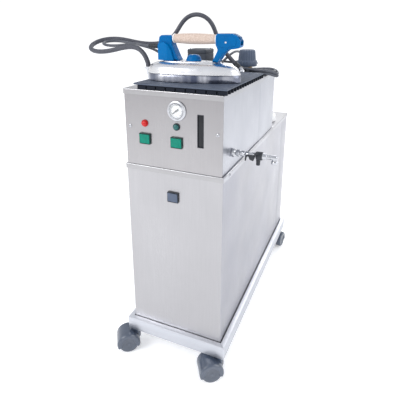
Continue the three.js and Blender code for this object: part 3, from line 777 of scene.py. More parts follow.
def hank_point(turns):
    """A point of the lead's hank after so many turns: two lanes wide, two layers deep, laid on itself."""
    diameter = LEAD / MM
    lane = ease(turns, 1.1, 1.2) - ease(turns, 2.9, 3.0)
    layer = 2 - ease(turns, 0.2, 0.34) - ease(turns, 2.0, 2.1)
    bulb = HANK["bulb"] - diameter * (0.5 + lane)
    waist = HANK["waist"] - diameter * (0.5 + lane)
    run = HANK["run"]
    u = turns % 1.0

    def narrow(s):
        return waist + (bulb - waist) * 0.5 * (1 + math.cos(2 * math.pi * s / run))

    if u < 0.12:
        angle = math.pi + math.pi / 2 * u / 0.12
        s, t = bulb * math.cos(angle), bulb * math.sin(angle)
    elif u < 0.39:
        s = run * (u - 0.12) / 0.27
        t = -narrow(s)
    elif u < 0.63:
        angle = -math.pi / 2 + math.pi * (u - 0.39) / 0.24
        s, t = run + bulb * math.cos(angle), bulb * math.sin(angle)
    elif u < 0.9:
        s = run * (0.9 - u) / 0.27
        t = narrow(s)
    else:
        angle = math.pi / 2 + math.pi / 2 * (u - 0.9) / 0.1
        s, t = bulb * math.cos(angle), bulb * math.sin(angle)
    turn = math.radians(HANK["turn"])
    x = HANK["x"] + s * math.cos(turn) - t * math.sin(turn)
    y = HANK["y"] + s * math.sin(turn) + t * math.cos(turn)
    over = x - HANK["edge"]
    z = TOP + diameter * (0.63 + layer) - HANK["droop"] * (over * ease(over, 0, 26) if over > 0 else 0)
    return at(x, y, z)


def relaxed(path, step, rounds):
    """The path in even steps with its kinks eased out; a few points at both ends stay."""
    held = 3
    reach = [0.0]
    for a, b in zip(path, path[1:]):
        reach.append(reach[-1] + (b - a).length)
    count = round(reach[-1] / step)
    out, k = [], 0
    for i in range(count + 1):
        here = reach[-1] * i / count
        while k < len(path) - 2 and reach[k + 1] < here:
            k += 1
        out.append(path[k].lerp(path[k + 1], (here - reach[k]) / (reach[k + 1] - reach[k])))
    last = len(out) - 1 - held
    for _ in range(rounds):
        out = [p if i < held or i > last else out[i - 1] * 0.25 + p * 0.5 + out[i + 1] * 0.25
               for i, p in enumerate(out)]
    return out


def cords():
    """Each cord's tube and the path through it."""
    hose_path = relaxed(curve_through([at(*p) for p in HOSE_ROUTE], 7), 3.5 * MM, 26)
    cable_path = relaxed(curve_through([at(*p) for p in CABLE_ROUTE], 8), 3 * MM, 20)
    steps = round(HANK_END * 60)
    hank = [hank_point(HANK_START + (HANK_END - HANK_START) * i / steps) for i in range(steps + 1)]
    start = curve_through([at(*p) for p in LEAD_START] + [hank[0]], 8)
    end = curve_through([hank[-1]] + [at(*p) for p in LEAD_FINISH], 8)
    lead_path = relaxed(start[:-1] + hank[:-1] + end, 3 * MM, 12)
    return {
        "steam_hose": (tube("steam_hose", hose_path, HOSE, 20), hose_path),
        "iron_cable": (tube("iron_cable", cable_path, CABLE, 16), cable_path),
        "mains_lead": (tube("mains_lead", lead_path, LEAD, 16), lead_path),
    }


def bend_with_iron(obj):
    """Bakes a cord's placement into its mesh."""
    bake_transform(obj)


def declare_cords(made, on_lead):
    for name, look in (("steam_hose", "hose"), ("iron_cable", "cable"), ("mains_lead", "cable")):
        obj = made[name][0]
        obj.data.materials.append(LOOK[look])
        smooth(obj, 60)
    hose, path = made["steam_hose"]
    bend_with_iron(hose)
    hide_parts("steam_hose_arch", "steam_hose_loop")
    cable, path = made["iron_cable"]
    bend_with_iron(cable)
    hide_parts("iron_cable_loop", "iron_cable_run")
    lead, path = made["mains_lead"]
    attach(lead, "cabinet")
    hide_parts("mains_lead_run", "mains_lead_hank", "mains_lead_end")


# ---- places that several pieces share, in millimetres ----
TRAY, TRAY_TOP = (-132, 132, -13.5, 673.5), 95.6
LOWER = {"half": 118, "seam": 575, "rear": 660, "bottom": 62, "top": 516.7}
UPPER = {"half": 115, "seam": 280, "rear": 441, "bottom": 519, "top": 688.8}
TOP = 690.6
SHEET, SHEET_BEND = 1.5, 2.8
SWITCHES = {"left": (-65.5, 582.5, "green"), "middle": (11.4, 582, "green"), "lower": (0.3, 453.7, "slate")}
LAMPS = {"red": (-65.3, 617, "lamp_red"), "green": (11.3, 616.5, "black")}
GAUGE_AT = (12.4, 651)
DRAIN_AT = (60, 556)
MAINS_AT = (10, 640)
OUTLET_AT = (60, 290)
NECK_AT = (46, 380)
FILLER_AT = (80, 520)
IRON_Y = 88
GRIP_Z = 792.5
BARB_AT = (-104, IRON_Y, 719.2)
RELIEF_AT = (-70, IRON_Y, 775)


# ---- wheeled base ----
JOINT = {joint["name"]: joint for joint in frame["record"]["behaviour"]["joints"]}
CORNERS = ("fl", "fr", "rl", "rr")


def base_tray():
    top = TRAY_TOP
    layers = [
        (1.5, 61.5), (1.5, top - 1.6), (12.3, top - 1.6), (12.3, top - 0.5), (11.8, top), (1.6, top),
        (0.5, top - 0.5), (0, top - 1.6), (0, 61.8), (0.5, 60.5), (1.8, 60),
    ]
    tray = stacked("tray", TRAY, layers, 2.6)
    for corner in CORNERS:
        stem = Vector(JOINT[f"castor_{corner}_swivel"]["pos_m"])
        stem.z = 0.05
        carve(tray, lathe("hole", [(5.4, 0), (5.4, 30)], stem, Z, 24))
    finish(tray, "tray", "base_tray")


def castor(corner):
    axle = Vector(JOINT[f"castor_{corner}_spin"]["axis"]).normalized()
    centre = Vector(JOINT[f"castor_{corner}_spin"]["pos_m"])
    stem = Vector(JOINT[f"castor_{corner}_swivel"]["pos_m"])
    stem.z = 0
    ahead = axle.cross(Z)
    body = f"castor_{corner}"

    def place(u, r, angle):
        return centre + (axle * u + (ahead * math.cos(angle) + Z * math.sin(angle)) * r) * MM

    section = rounded([
        (-25.6, 17.5, 0.2), (-25.6, 26.6, 2.2), (-22, 29.6, 3), (22, 29.6, 3), (25.6, 26.6, 2.2),
        (25.6, 17.5, 0.2), (25.0, 17.5, 0.2), (25.0, 26.0, 0.8), (-25.0, 26.0, 0.8), (-25.0, 17.5, 0.2),
    ], 1, 4)
    first, last = math.radians(-19), math.radians(199)

    def sweep(count):
        """Angles over the hood, from one edge to the other."""
        return [first + (last - first) * k / count for k in range(count + 1)]

    hood = loft(f"castor_{corner}_fender", [[place(u, r, angle) for u, r in section] for angle in sweep(32)])
    fan = [(0, 0)] + [(26.6 * math.cos(angle), 26.6 * math.sin(angle)) for angle in sweep(24)]
    web = loft("web", [[centre + (axle * u + ahead * a + Z * b) * MM for a, b in fan] for u in (-3.2, 3.2)])
    socket = lathe("socket", [
        (8.4, 28), (9.4, 30), (9.4, 50), (10.6, 53), (11.4, 55), (11.4, 56), (10.8, 56.5), (4, 56.5),
    ], stem, Z, 36)
    merge(hood, web, socket)
    finish(hood, "castor", f"castor_{corner}_hood", body=body)
    pin = lathe(f"castor_{corner}_stem", [
        (4, 50), (4.9, 51), (4.9, 56.7), (9.2, 56.7), (9.6, 57), (9.6, 58.6), (9.2, 59), (4.9, 59),
        (4.9, 61.2), (4.2, 61.7),
    ], stem, Z, 36)
    finish(pin, "chrome", body=body)
    side = [
        (3.1, 3.9), (23.4, 3.9), (24.6, 4.5), (25, 5.8), (25, 19.6), (24.7, 21.4), (23.8, 22.9), (22.4, 23.8),
        (20.6, 24.2), (8.6, 24.4), (8.1, 24.2), (7.4, 24.2), (6.8, 24.6), (3.1, 24.7),
    ]
    wheels = lathe(f"castor_{corner}_wheel_pair", [(3.1, -25.2), (3.1, 25.2)], centre, axle, 24)
    right = lathe("right", side, centre, axle, 56)
    left = lathe("left", side, centre, -axle, 56)
    merge(wheels, right, left)
    finish(wheels, "wheel", f"castor_{corner}_wheels", body=f"castor_{corner}_roll")


# ---- cabinets ----
def fold(half, y0, y1, radius=SHEET_BEND, steps=5):
    """The plan of a sheet folded round three sides, open towards +Y."""
    inner, within, bend = half - SHEET, y0 + SHEET, radius - SHEET
    return rounded([
        (-half, y1, 0.3), (-half, y0, radius), (half, y0, radius), (half, y1, 0.3),
        (inner, y1, 0.3), (inner, within, bend), (-inner, within, bend), (-inner, y1, 0.3),
    ], 1, steps)


def turned_fold(half, y0, y1):
    """The same, open towards -Y."""
    return [(x, y1 + y0 - y) for x, y in fold(half, y0, y1)]


def panel_hole(x0, x1, z0, z1, radius):
    """A cutter through the front sheet."""
    return prism("hole", oblong(x0, x1, z0, z1, radius), -5, 5, "xz")


def switch_hole(name):
    x, z, _ = SWITCHES[name]
    return panel_hole(x - 12.6, x + 12.6, z - 11.1, z + 11.1, 1)


def lid_layers(top, drop):
    """A plate with its skirt: from the underside of the plate, round the skirt's rim, to the top face."""
    layers = [
        (1.5, top - 1.5), (1.5, top - drop + 0.3), (1.2, top - drop), (0.3, top - drop),
        (0, top - drop + 0.3),
    ]
    bend = 2.4
    for k in range(6):
        angle = math.pi / 2 * k / 5
        layers.append((bend * (1 - math.cos(angle)), top - bend + bend * math.sin(angle)))
    return layers


def vents(y, z0, columns, rows):
    """Cutters for rows of upright slots through a rear wall."""
    pitch, rise, length = 9, 42, 30
    cutters = []
    for row in range(rows):
        for column in range(columns):
            x = (column - (columns - 1) / 2) * pitch
            z = z0 + row * rise
            cutters.append(prism("slot", oblong(x - 1.5, x + 1.5, z, z + length, 1.4, 3), y - 6, y + 6, "xz"))
    return cutters


def lower_cabinet():
    half, seam, rear, bottom, top = LOWER.values()
    shell = prism("lower_cabinet_shell", fold(half, 0, seam - 1.5), bottom, top, "xy")
    carve(shell, switch_hole("lower"))
    finish(shell, "lower", "lower_shell")
    cover = prism("lower_cabinet_rear", turned_fold(half, seam, rear), bottom, top, "xy")
    carve(cover, *vents(659, 250, 13, 3))
    finish(cover, "lower", "lower_rear_cover")
    deck = stacked("rear_deck", (-half - 2, half + 2, -2, rear + 2), lid_layers(518.5, 12), SHEET_BEND)
    carve(deck, rod("hole", 23.5, (*FILLER_AT, 500), (*FILLER_AT, 530), 56))
    finish(deck, "top", "lower_deck")


def upper_cabinet():
    half, seam, rear, bottom, top = UPPER.values()
    shell = prism("upper_cabinet_shell", fold(half, bottom, top, 2.6, 4), 1.9, 278.8, "xz")
    carve(shell, rod("hole", 8, (100, *DRAIN_AT), (130, *DRAIN_AT)))
    finish(shell, "side", "upper_shell")
    cover = prism("upper_cabinet_rear", turned_fold(half, seam, rear), bottom, top, "xy")
    mains_x, mains_z = MAINS_AT
    entry = rod("hole", 7, (mains_x, rear - 11, mains_z), (mains_x, rear + 9, mains_z))
    carve(cover, entry, *vents(440, 545, 15, 1))
    finish(cover, "side", "upper_rear_cover")
    front_plan = rounded([(-half, SHEET, 0.3), (-half, 0, 1.3), (half, 0, 1.3), (half, SHEET, 0.3)], 1, 5)
    panel = prism("front_panel", front_plan, bottom + 0.2, top, "xy")
    carve(panel, switch_hole("left"), switch_hole("middle"), panel_hole(58.6, 73.4, 576.5, 647.5, 1.2))
    openings = ((GAUGE_AT, 19.3, 48), (LAMPS["red"][:2], 5.3, 32), (LAMPS["green"][:2], 5.3, 32))
    for (x, z), radius, sides in openings:
        carve(panel, rod("hole", radius, (x, -5, z), (x, 5, z), sides))
    finish(panel, "panel", "upper_front_panel")
    lid = stacked("upper_cabinet_lid", (-half - 2, half + 2, -2, rear + 2), lid_layers(TOP, 12), SHEET_BEND)
    for place, radius, sides in ((NECK_AT, 16.5, 48), (OUTLET_AT, 6.4, 32)):
        carve(lid, rod("hole", radius, (*place, 670), (*place, 700), sides))
    finish(lid, "top", "upper_top_plate")


# ---- front panel ----
def rocker_switch(name, x, z, look):
    half_x, half_z, proud = 13.5, 12.25, 4.5

    def plan(wide, high, radius, steps=5):
        return oblong(x - wide, x + wide, z - high, z + high, radius, steps)

    frame_piece = pillow(f"switch_{name}_bezel", plan(half_x, half_z, 1.8, 4), -proud, -0.3, "xz", 0.9, 3)
    carve(frame_piece, prism("well", plan(half_x - 0.95, half_z - 0.95, 1.1), -proud - 2, -1.2, "xz"))
    shank = prism("shank", plan(12.2, 10.7, 0.8), -1.1, 24, "xz")
    carve(shank, prism("well", plan(11.5, 8.5, 0.8), -3, 14, "xz"))
    merge(frame_piece, shank)
    finish(frame_piece, "frame" if look == "green" else "black", f"switch_{name}_frame")
    reach = half_z - 1.95
    side = rounded([(-3.2, z - reach, 0.3), (-5.2, z - reach, 1.1), (-5.35, z - 3, 6), (-5.8, z + 1.5, 6),
                    (-6.75, z + reach, 1.1), (-3.2, z + reach, 0.3)], 1, 5)
    cap = pillow(f"switch_{name}_key", side, x - half_x + 1.25, x + half_x - 1.25, "yz", 0.8, 4)
    tongue = prism("tongue", [(-3.4, z - 4), (-3.4, z + 4), (7.8, z + 2), (7.8, z - 2)], x - 8, x + 8, "yz")
    merge(cap, tongue)
    finish(cap, look, f"switch_{name}_rocker", body=f"{name}_switch")


def lamp(name, x, z, ring_look):
    ring = lathe(f"lamp_{name}_ring", [
        (5, -22), (5, 0.3), (7.7, 0.3), (8, 0.7), (8, 1.7), (7.6, 2.4), (6.9, 2.7), (6.5, 2.3), (6.3, 1.2),
    ], at(x, 0, z), -Y, 48)
    finish(ring, ring_look, slot=f"lamp_{name}")
    dome = [(6.2, 1.4), (6.25, 3.2), (6.0, 4.5), (5.3, 5.8), (4.2, 6.7), (2.6, 7.3), (1.2, 7.5), (0.05, 7.55)]
    lens = lathe(f"lamp_{name}_lens", dome, at(x, 0, z), -Y, 48,
                 lambda angle, r, h: r * (1 + 0.022 * math.cos(12 * angle) * (h < 5)))
    finish(lens, f"lamp_{name}", f"lamp_{name}")


def text_piece(name, words, point, size):
    """Raised figures that face the front, made into a mesh."""
    curve = bpy.data.curves.new(name, "FONT")
    curve.body = words
    curve.size = size * MM
    curve.align_x = "CENTER"
    curve.align_y = "CENTER"
    curve.extrude = 0.12 * MM
    curve.resolution_u = 3
    holder = placed(name, curve)
    depsgraph = bpy.context.evaluated_depsgraph_get()
    mesh = bpy.data.meshes.new_from_object(holder.evaluated_get(depsgraph))
    bpy.data.objects.remove(holder)
    turn = Matrix((X, Z, X.cross(Z))).transposed().to_4x4()
    mesh.transform(Matrix.Translation(at(*point)) @ turn)
    return placed(name, mesh)


def gauge():
    x, z = GAUGE_AT
    centre = at(x, 0, z)

    def heading(part):
        """The way from the dial's middle to a part of its scale, from 0 to 1."""
        angle = math.radians(225 - 270 * part)
        return math.cos(angle), math.sin(angle)

    case = lathe("gauge_housing", [
        (5, 26), (18.4, 26), (19, 25.4), (19, -0.3), (21.2, -0.3), (21.6, -0.8), (21.6, -2.0), (21.2, -2.8),
        (20.4, -3.3), (17.6, -4.1), (16.9, -4.9), (16.5, -6.2), (15.9, -7.0), (15.2, -7.1), (14.9, -6.7),
        (14.8, -5.9), (14.8, -1.6), (5, -1.5),
    ][::-1], centre, Y, 72)
    finish(case, "satin", "gauge_case")
    dial = lathe("gauge_dial", [
        (0.05, 1.65), (14.7, 1.65), (14.7, 2.1), (14.4, 2.2), (0.05, 2.2),
    ], centre, -Y, 64)
    finish(dial, "dial")
    marks = []
    for k in range(31):
        inner, outer, half = (10.4, 13.0, 0.32) if k % 5 == 0 else (11.7, 13.0, 0.15)
        a = Vector(heading(k / 30))
        b = Vector((-a.y, a.x))
        corners = ((inner, -half), (outer, -half), (outer, half), (inner, half))
        plan = [tuple(Vector((x, z)) + a * r + b * w) for r, w in corners]
        marks.append(prism("mark", plan, -2.35, -2.15, "xz"))
    arc = []
    for radius, steps in ((13.3, range(41)), (13.0, range(40, -1, -1))):
        for k in steps:
            c, s = heading(k / 40)
            arc.append((x + radius * c, z + radius * s))
    marks.append(prism("arc", arc, -2.35, -2.15, "xz"))
    for number in range(7):
        c, s = heading(number / 6)
        marks.append(text_piece("number", str(number), (x + 8.2 * c, -2.2, z + 8.2 * s), 3.2))
    scale = merge(*marks)
    scale.name = "gauge_scale"
    finish(scale, "ink")
    turn = math.radians(125)

    def spun(points):
        c, s = math.cos(turn), math.sin(turn)
        return [(x + a * c - b * s, z + a * s + b * c) for a, b in points]

    shape = rounded([(-0.4, 11.8), (0.4, 11.8), (1.5, 1.5), (1.9, -6.6), (-1.9, -6.6), (-1.5, 1.5)], 0.2, 2)
    blade = pillow("needle", spun(shape), -3.9, -3.2, "xz", 0.15, 2)
    hub = lathe("hub", [
        (0.05, 2.9), (2.0, 2.9), (2.2, 3.2), (2.2, 4.3), (1.7, 4.8), (0.05, 4.95),
    ], centre, -Y, 32)
    merge(blade, hub)
    finish(blade, "ink", "gauge_needle", body="pointer")
    glass = lathe("gauge_glass", [
        (0.05, 5.3), (14.7, 5.3), (14.7, 6.1), (14.3, 6.3), (0.05, 6.45),
    ], centre, -Y, 64)
    finish(glass, "glass")


def level_window():
    x0, x1, z0, z1 = 58.9, 73.1, 576.8, 647.2

    def plan(inset_x, inset_z, radius):
        return oblong(x0 + inset_x, x1 - inset_x, z0 + inset_z, z1 - inset_z, radius)

    housing = prism("level_housing_body", plan(-4.6, -7.8, 2), 1.9, 17.6, "xz")
    carve(housing, prism("well", plan(1.2, 1.2, 1.2), -4, 13, "xz"))
    lip = prism("lip", plan(0, 0, 1.1), -0.5, 2.2, "xz")
    carve(lip, prism("well", plan(1.2, 1.2, 0.8), -4, 6, "xz"))
    merge(housing, lip)
    finish(housing, "black", "level_housing")
    pane = pillow("level_glass", plan(1.4, 1.4, 0.8), 1.0, 2.6, "xz", 0.3, 2)
    finish(pane, "dark_glass")


# ---- drain ----
def drain_valve():
    y, z = DRAIN_AT
    start = 115.3
    spindle, spout = start + 48, start + 59
    flange = [
        (5, 0), (9.2, 0), (9.6, 0.5), (9.6, 5.5), (9.1, 6.6), (7.4, 7.4), (6.6, 8.6), (5.3, 9.6), (5.2, 18),
        (5.2, 22),
    ]
    rest = [
        (6.1, 22), (6.5, 22.5), (6.5, 29), (6.1, 29.5), (5.9, 30), (6.4, 31), (6.4, 41), (6.0, 42), (6.0, 54),
        (6.4, 55), (6.4, 75.4), (5.8, 76.4), (5.1, 77), (5.1, 84), (5.9, 84.4), (5.9, 85.6), (5.2, 86),
    ]
    bend = [(5.2, 94), (4.9, 96.6), (3.8, 98.6), (2.2, 99.6), (0.05, 100)]
    body = lathe("drain_pipe", flange + rest + bend, at(start, y, z), X, 40)
    hexagon = lathe("hexagon", [(6.6, 10.5), (7.8, 11), (7.8, 17.5), (6.6, 18)], at(start, y, z), X, 6)
    drop = lathe("drop", [
        (4.6, -13.4), (6.8, -13.2), (7.1, -12.8), (7.1, -8.4), (6.7, -7.8), (5.5, -7.4), (5.2, -6.6),
        (5.2, 0),
    ], at(start + 94, y, z), Z, 36)
    boss = lathe("boss", [(3.6, 3), (3.6, 12.6), (3.3, 13)], at(spindle, y, z), -Y, 28)
    feed = rod("feed", 4.9, (46, y, z), (start + 2, y, z))
    back = rod("back", 4.9, (51, y - 4, z), (51, 94.6, z))
    merge(body, hexagon, drop, boss, feed, back)
    finish(body, "nickel", "drain_valve_body")
    x = spindle
    arms = rounded([
        (x - 4, z - 6), (x + 4, z - 8), (x + 6.5, z - 2), (x + 7, z + 2), (x + 13.5, z + 12.5),
        (x + 10.5, z + 14.5), (x + 3, z + 5), (x - 4, z + 4), (x - 9, z + 5.5), (x - 13.5, z + 2),
        (x - 15, z - 9), (x - 12, z - 10), (x - 10.5, z), (x - 8, z + 1.5), (x - 5, z - 1),
    ], 1.4, 3)
    lever = pillow("drain_lever", arms, y - 16.4, y - 13.3, "xz", 0.6, 3)
    hub = lathe("hub", [
        (0.05, 16), (5.2, 16), (5.4, 16.3), (5.4, 17.8), (5, 18.3), (3.6, 18.6), (0.05, 18.6),
    ], at(x, y, z), -Y, 32)
    merge(lever, hub)
    finish(lever, "black", "drain_valve_lever", body="drain_lever")
    collar = lathe("drain_outlet", [
        (6.7, -4), (8.4, -4), (9, -3.4), (9, 8.4), (8.4, 9), (6.7, 9),
    ], at(spout, y, z), X, 40)
    down = lathe("down", [
        (3.2, -21), (4.0, -21), (4.3, -20.6), (4.3, -14), (4.8, -12), (4.8, -7.2),
    ], at(spout, y, z), Z, 32)
    merge(collar, down)
    finish(collar, "black", "drain_spout")


# ---- top of the upper cabinet ----
def mat():
    left, right, front, rear, top = -88, 123, -3, 272, 703.4
    under = top - 3.2
    grooves = 52
    pitch = (rear - front) / grooves
    edge = [(front, under), (rear, under), (rear, top - 0.5)]
    for k in range(grooves, 0, -1):
        y = front + k * pitch
        edge += [
            (y - 0.3, top), (y - pitch + 1.5, top), (y - pitch + 1.2, top - 0.75),
            (y - pitch + 0.3, top - 0.75),
        ]
    sheet = prism("mat_sheet", edge + [(front, top - 0.5)], left, right, "yz")
    teeth = []
    rows, columns, inset, gap = 16, 9, 9, 2.4
    step = (rear - front - 6) / (rows - 1)
    across = (right - left - inset + gap) / columns
    for row in range(rows):
        y = front + 0.5 + row * step
        for column in range(columns):
            x = left + inset + column * across
            teeth.append((x, x + across - gap, y, y + 4.6, 690.9, under - 1.8))
        teeth.append((left + inset, right, y + 0.6, y + 4, under - 2.4, under + 0.6))
    below = blocks("mat_ribs", teeth)
    bevel(below, 0.45)
    finish(sheet, "mat", "iron_mat")
    finish(below, "ribs")


def junction_box():
    box = stacked("junction_body", (-93, -37, 274, 335), [
        (2.2, 690.9), (0.6, 691.3), (0, 692.2), (0.3, 744.6), (0.7, 745.0), (1.4, 745.2), (1.4, 746.2),
        (0.5, 746.4), (0.2, 746.9), (0.2, 753.6), (0.7, 755.4), (1.9, 756.6), (3.6, 757),
    ], 5)
    finish(box, "box", "junction_box")
    gland = lathe("junction_gland", [
        (5, -0.5), (6.8, 0.3), (6.8, 3.6), (6.2, 4.2), (5.2, 4.4), (4.6, 8.4), (3.7, 8.8),
    ], at(-93, 296, 700), -X, 28, lambda angle, r, h: r * (1 + 0.03 * math.cos(10 * angle) * (0 < h < 4)))
    finish(gland, "black", slot="slate_plastic")


def hose_outlet():
    axis = Vector((-1, 0, 1)).normalized()
    nut = lathe("outlet_nut", [
        (8, 0), (9.8, 0.3), (10, 1), (10, 9), (9.6, 10), (8.2, 10.4),
    ], at(*OUTLET_AT, 690.9), Z, 6)
    collar = lathe("collar", [(7.6, 9), (7.6, 13.4), (7.0, 14.6), (6.0, 15.2)], at(*OUTLET_AT, 690.9), Z, 36)
    stem = rod("stem", 5.9, (*OUTLET_AT, 679), (*OUTLET_AT, 692))
    rise = lathe("rise", [
        (0.05, -6), (3.6, -5.4), (5.8, -3), (6.4, 0), (6.4, 8), (6.9, 8.4), (6.9, 9.8), (6.4, 10.2),
        (6.4, 20),
    ], at(*OUTLET_AT, 702.9), axis, 36)
    merge(nut, collar, stem, rise)
    finish(nut, "nickel", "hose_outlet")
    sleeve = lathe("outlet_sleeve", [
        (5.6, 11), (7.2, 11), (7.5, 11.5), (7.5, 20.4), (7.1, 21.4), (6.4, 26), (5.9, 30), (5.5, 30.4),
    ], at(*OUTLET_AT, 702.9), axis, 36)
    finish(sleeve, "black")


def mains_gland():
    place = at(MAINS_AT[0], UPPER["rear"], MAINS_AT[1])
    nut = lathe("mains_gland_nut", [
        (5, -12), (6.5, -12), (6.5, 0.3), (10.4, 0.3), (11, 0.8), (11, 7.2), (10.2, 8.2), (7.4, 8.8),
    ], place, Y, 48, lambda angle, r, h: r * (1 - 0.03 * (abs(math.sin(5 * angle)) > 0.85) * (1 < h < 8)))
    rings = [(6.9, 8)]
    for k in range(7):
        h = 9.4 + k * 3.4
        r = 6.6 - k * 0.3
        rings += [(r, h), (r, h + 2.2), (r - 1.1, h + 2.5), (r - 1.1, h + 3.2)]
    rings += [(4.5, 33.6), (3.9, 34.2)]
    relief = lathe("relief", rings, place, Y, 32)
    merge(nut, relief)
    finish(nut, "black", "mains_gland")


def boiler_cap():
    plug = lathe("boiler_plug", [
        (8, -10.6), (11, -10.4), (11.5, -9.6), (11.5, 1), (14.6, 1.1), (15, 1.5), (15, 4.8), (14.6, 5.2),
        (6, 5.3), (5, 6), (5, 22.5), (4.4, 23),
    ], at(*NECK_AT, 703.3), Z, 48)
    finish(plug, "brass", "boiler_cap_plug", body="boiler_plug")

    def fluted(angle, r, h):
        return r * (1 + 0.026 * math.cos(20 * angle)) if 20 < h < 48 else r

    knob = [
        (5.5, 14.6), (23.6, 14.4), (24, 14), (24, 6.6), (24.4, 6.1), (27, 6), (28, 6.5), (28.6, 8),
        (28.6, 18.6), (28, 20.8), (26.4, 21.9), (24.9, 22.3), (24.4, 23.4), (24.1, 26), (23.3, 34),
        (22.6, 42), (22.1, 47), (21.6, 49.6), (20.4, 51), (18.4, 51.5), (17.6, 51.2), (16.8, 50.6),
        (0.05, 50.5),
    ]
    cap = lathe("boiler_knob", knob, at(*NECK_AT, 701.6), Z, 120, fluted)
    carve(cap, rod("bore", 5.4, (*NECK_AT, 714), (*NECK_AT, 741)))
    finish(cap, "slate", "boiler_cap_knob", body="boiler_knob")


def filler_cap():
    def ribbed(angle, r, h):
        return r * (1 + 0.018 * math.cos(36 * angle)) if 3 < h < 21 else r

    cap = lathe("filler_cap", [
        (20.5, 17.6), (20.5, 0.4), (20.9, 0), (25, 0), (25.9, 0.9), (26, 3), (26, 20.6), (25.4, 22.6),
        (24, 24.2), (21.8, 25), (19, 25), (18.2, 24.4), (0.05, 24.3),
    ], at(*FILLER_AT, 518.8), Z, 144, ribbed)
    finish(cap, "white", "tank_filler_cap", body="filler_cap")


# ---- iron ----
def bezier(p0, p1, p2, p3, steps):
    out = []
    for k in range(steps + 1):
        t = k / steps
        u = 1 - t
        out.append(p0 * u ** 3 + p1 * 3 * u * u * t + p2 * 3 * u * t * t + p3 * t ** 3)
    return out


def sole_ring(heel, nose, half, z):
    """One level of the iron: a rounded heel and sides that curve in to a blunt nose."""
    corner = 68 * half / 57
    span = nose - heel
    flat = 3 * half / 57
    shoulder = flat + (half - flat) * 0.55
    side = bezier(Vector((heel + corner, half)), Vector((heel + span * 0.505, half + 1)),
                  Vector((nose - 0.0275 * span, half * 0.62)), Vector((nose, 0)), 27)
    back = bezier(Vector((heel, flat)), Vector((heel, shoulder)), Vector((heel + corner * 0.45, half)),
                  Vector((heel + corner, half)), 12)
    upper = back + side[1:]
    lower = [Vector((p.x, -p.y)) for p in reversed(upper[:-1])]
    return [at(p.x, IRON_Y + p.y, z) for p in upper + lower]


def iron_shell():
    sole = loft("iron_soleplate", [
        sole_ring(-95, 119, 55, 703.7), sole_ring(-96.4, 120.4, 56.4, 704.0), sole_ring(-97, 121, 57, 704.8),
        sole_ring(-97, 121, 57, 712), sole_ring(-96.6, 120.6, 56.6, 718.2), sole_ring(-96, 120, 56, 719.1),
        sole_ring(-94, 118, 54, 719.3),
    ])
    for x in range(-70, 100, 17):
        reach = 40 * (1 - ((x - 6) / 112) ** 2) ** 0.5 - 6
        for y in (IRON_Y - reach, IRON_Y + reach):
            carve(sole, rod("steam_hole", 1.8, (x, y, 702), (x, y, 707), 12))
    finish(sole, "sole", "iron_sole", body="iron")
    rings = [
        (-95.5, 119.6, 55.6, 719.6), (-96.0, 120.2, 56.1, 720.3), (-96.0, 120.2, 56.1, 721.8),
        (-95.4, 119.4, 55.6, 722.8), (-94.7, 118.2, 55.0, 725.6), (-93.7, 116.4, 54.2, 729),
        (-92.2, 113.6, 52.8, 732.4), (-89.6, 109.8, 50.6, 735.6), (-85.6, 104.8, 47.2, 738.4),
        (-80.2, 98.4, 42.6, 740.6), (-73.6, 91.0, 37.0, 742.0), (-66.8, 83.6, 31.2, 742.7),
        (-62.6, 78.2, 27.6, 742.8), (-61.6, 76.8, 26.4, 743.2), (-61.2, 76.2, 26.0, 744.4),
        (-60.4, 75.2, 25.2, 745.2), (-58.8, 73.4, 23.8, 745.5),
    ]
    cover = loft("iron_top_cover", [sole_ring(heel, nose, half, z) for heel, nose, half, z in rings])
    finish(cover, "cover", "iron_cover", body="iron", angle=50)


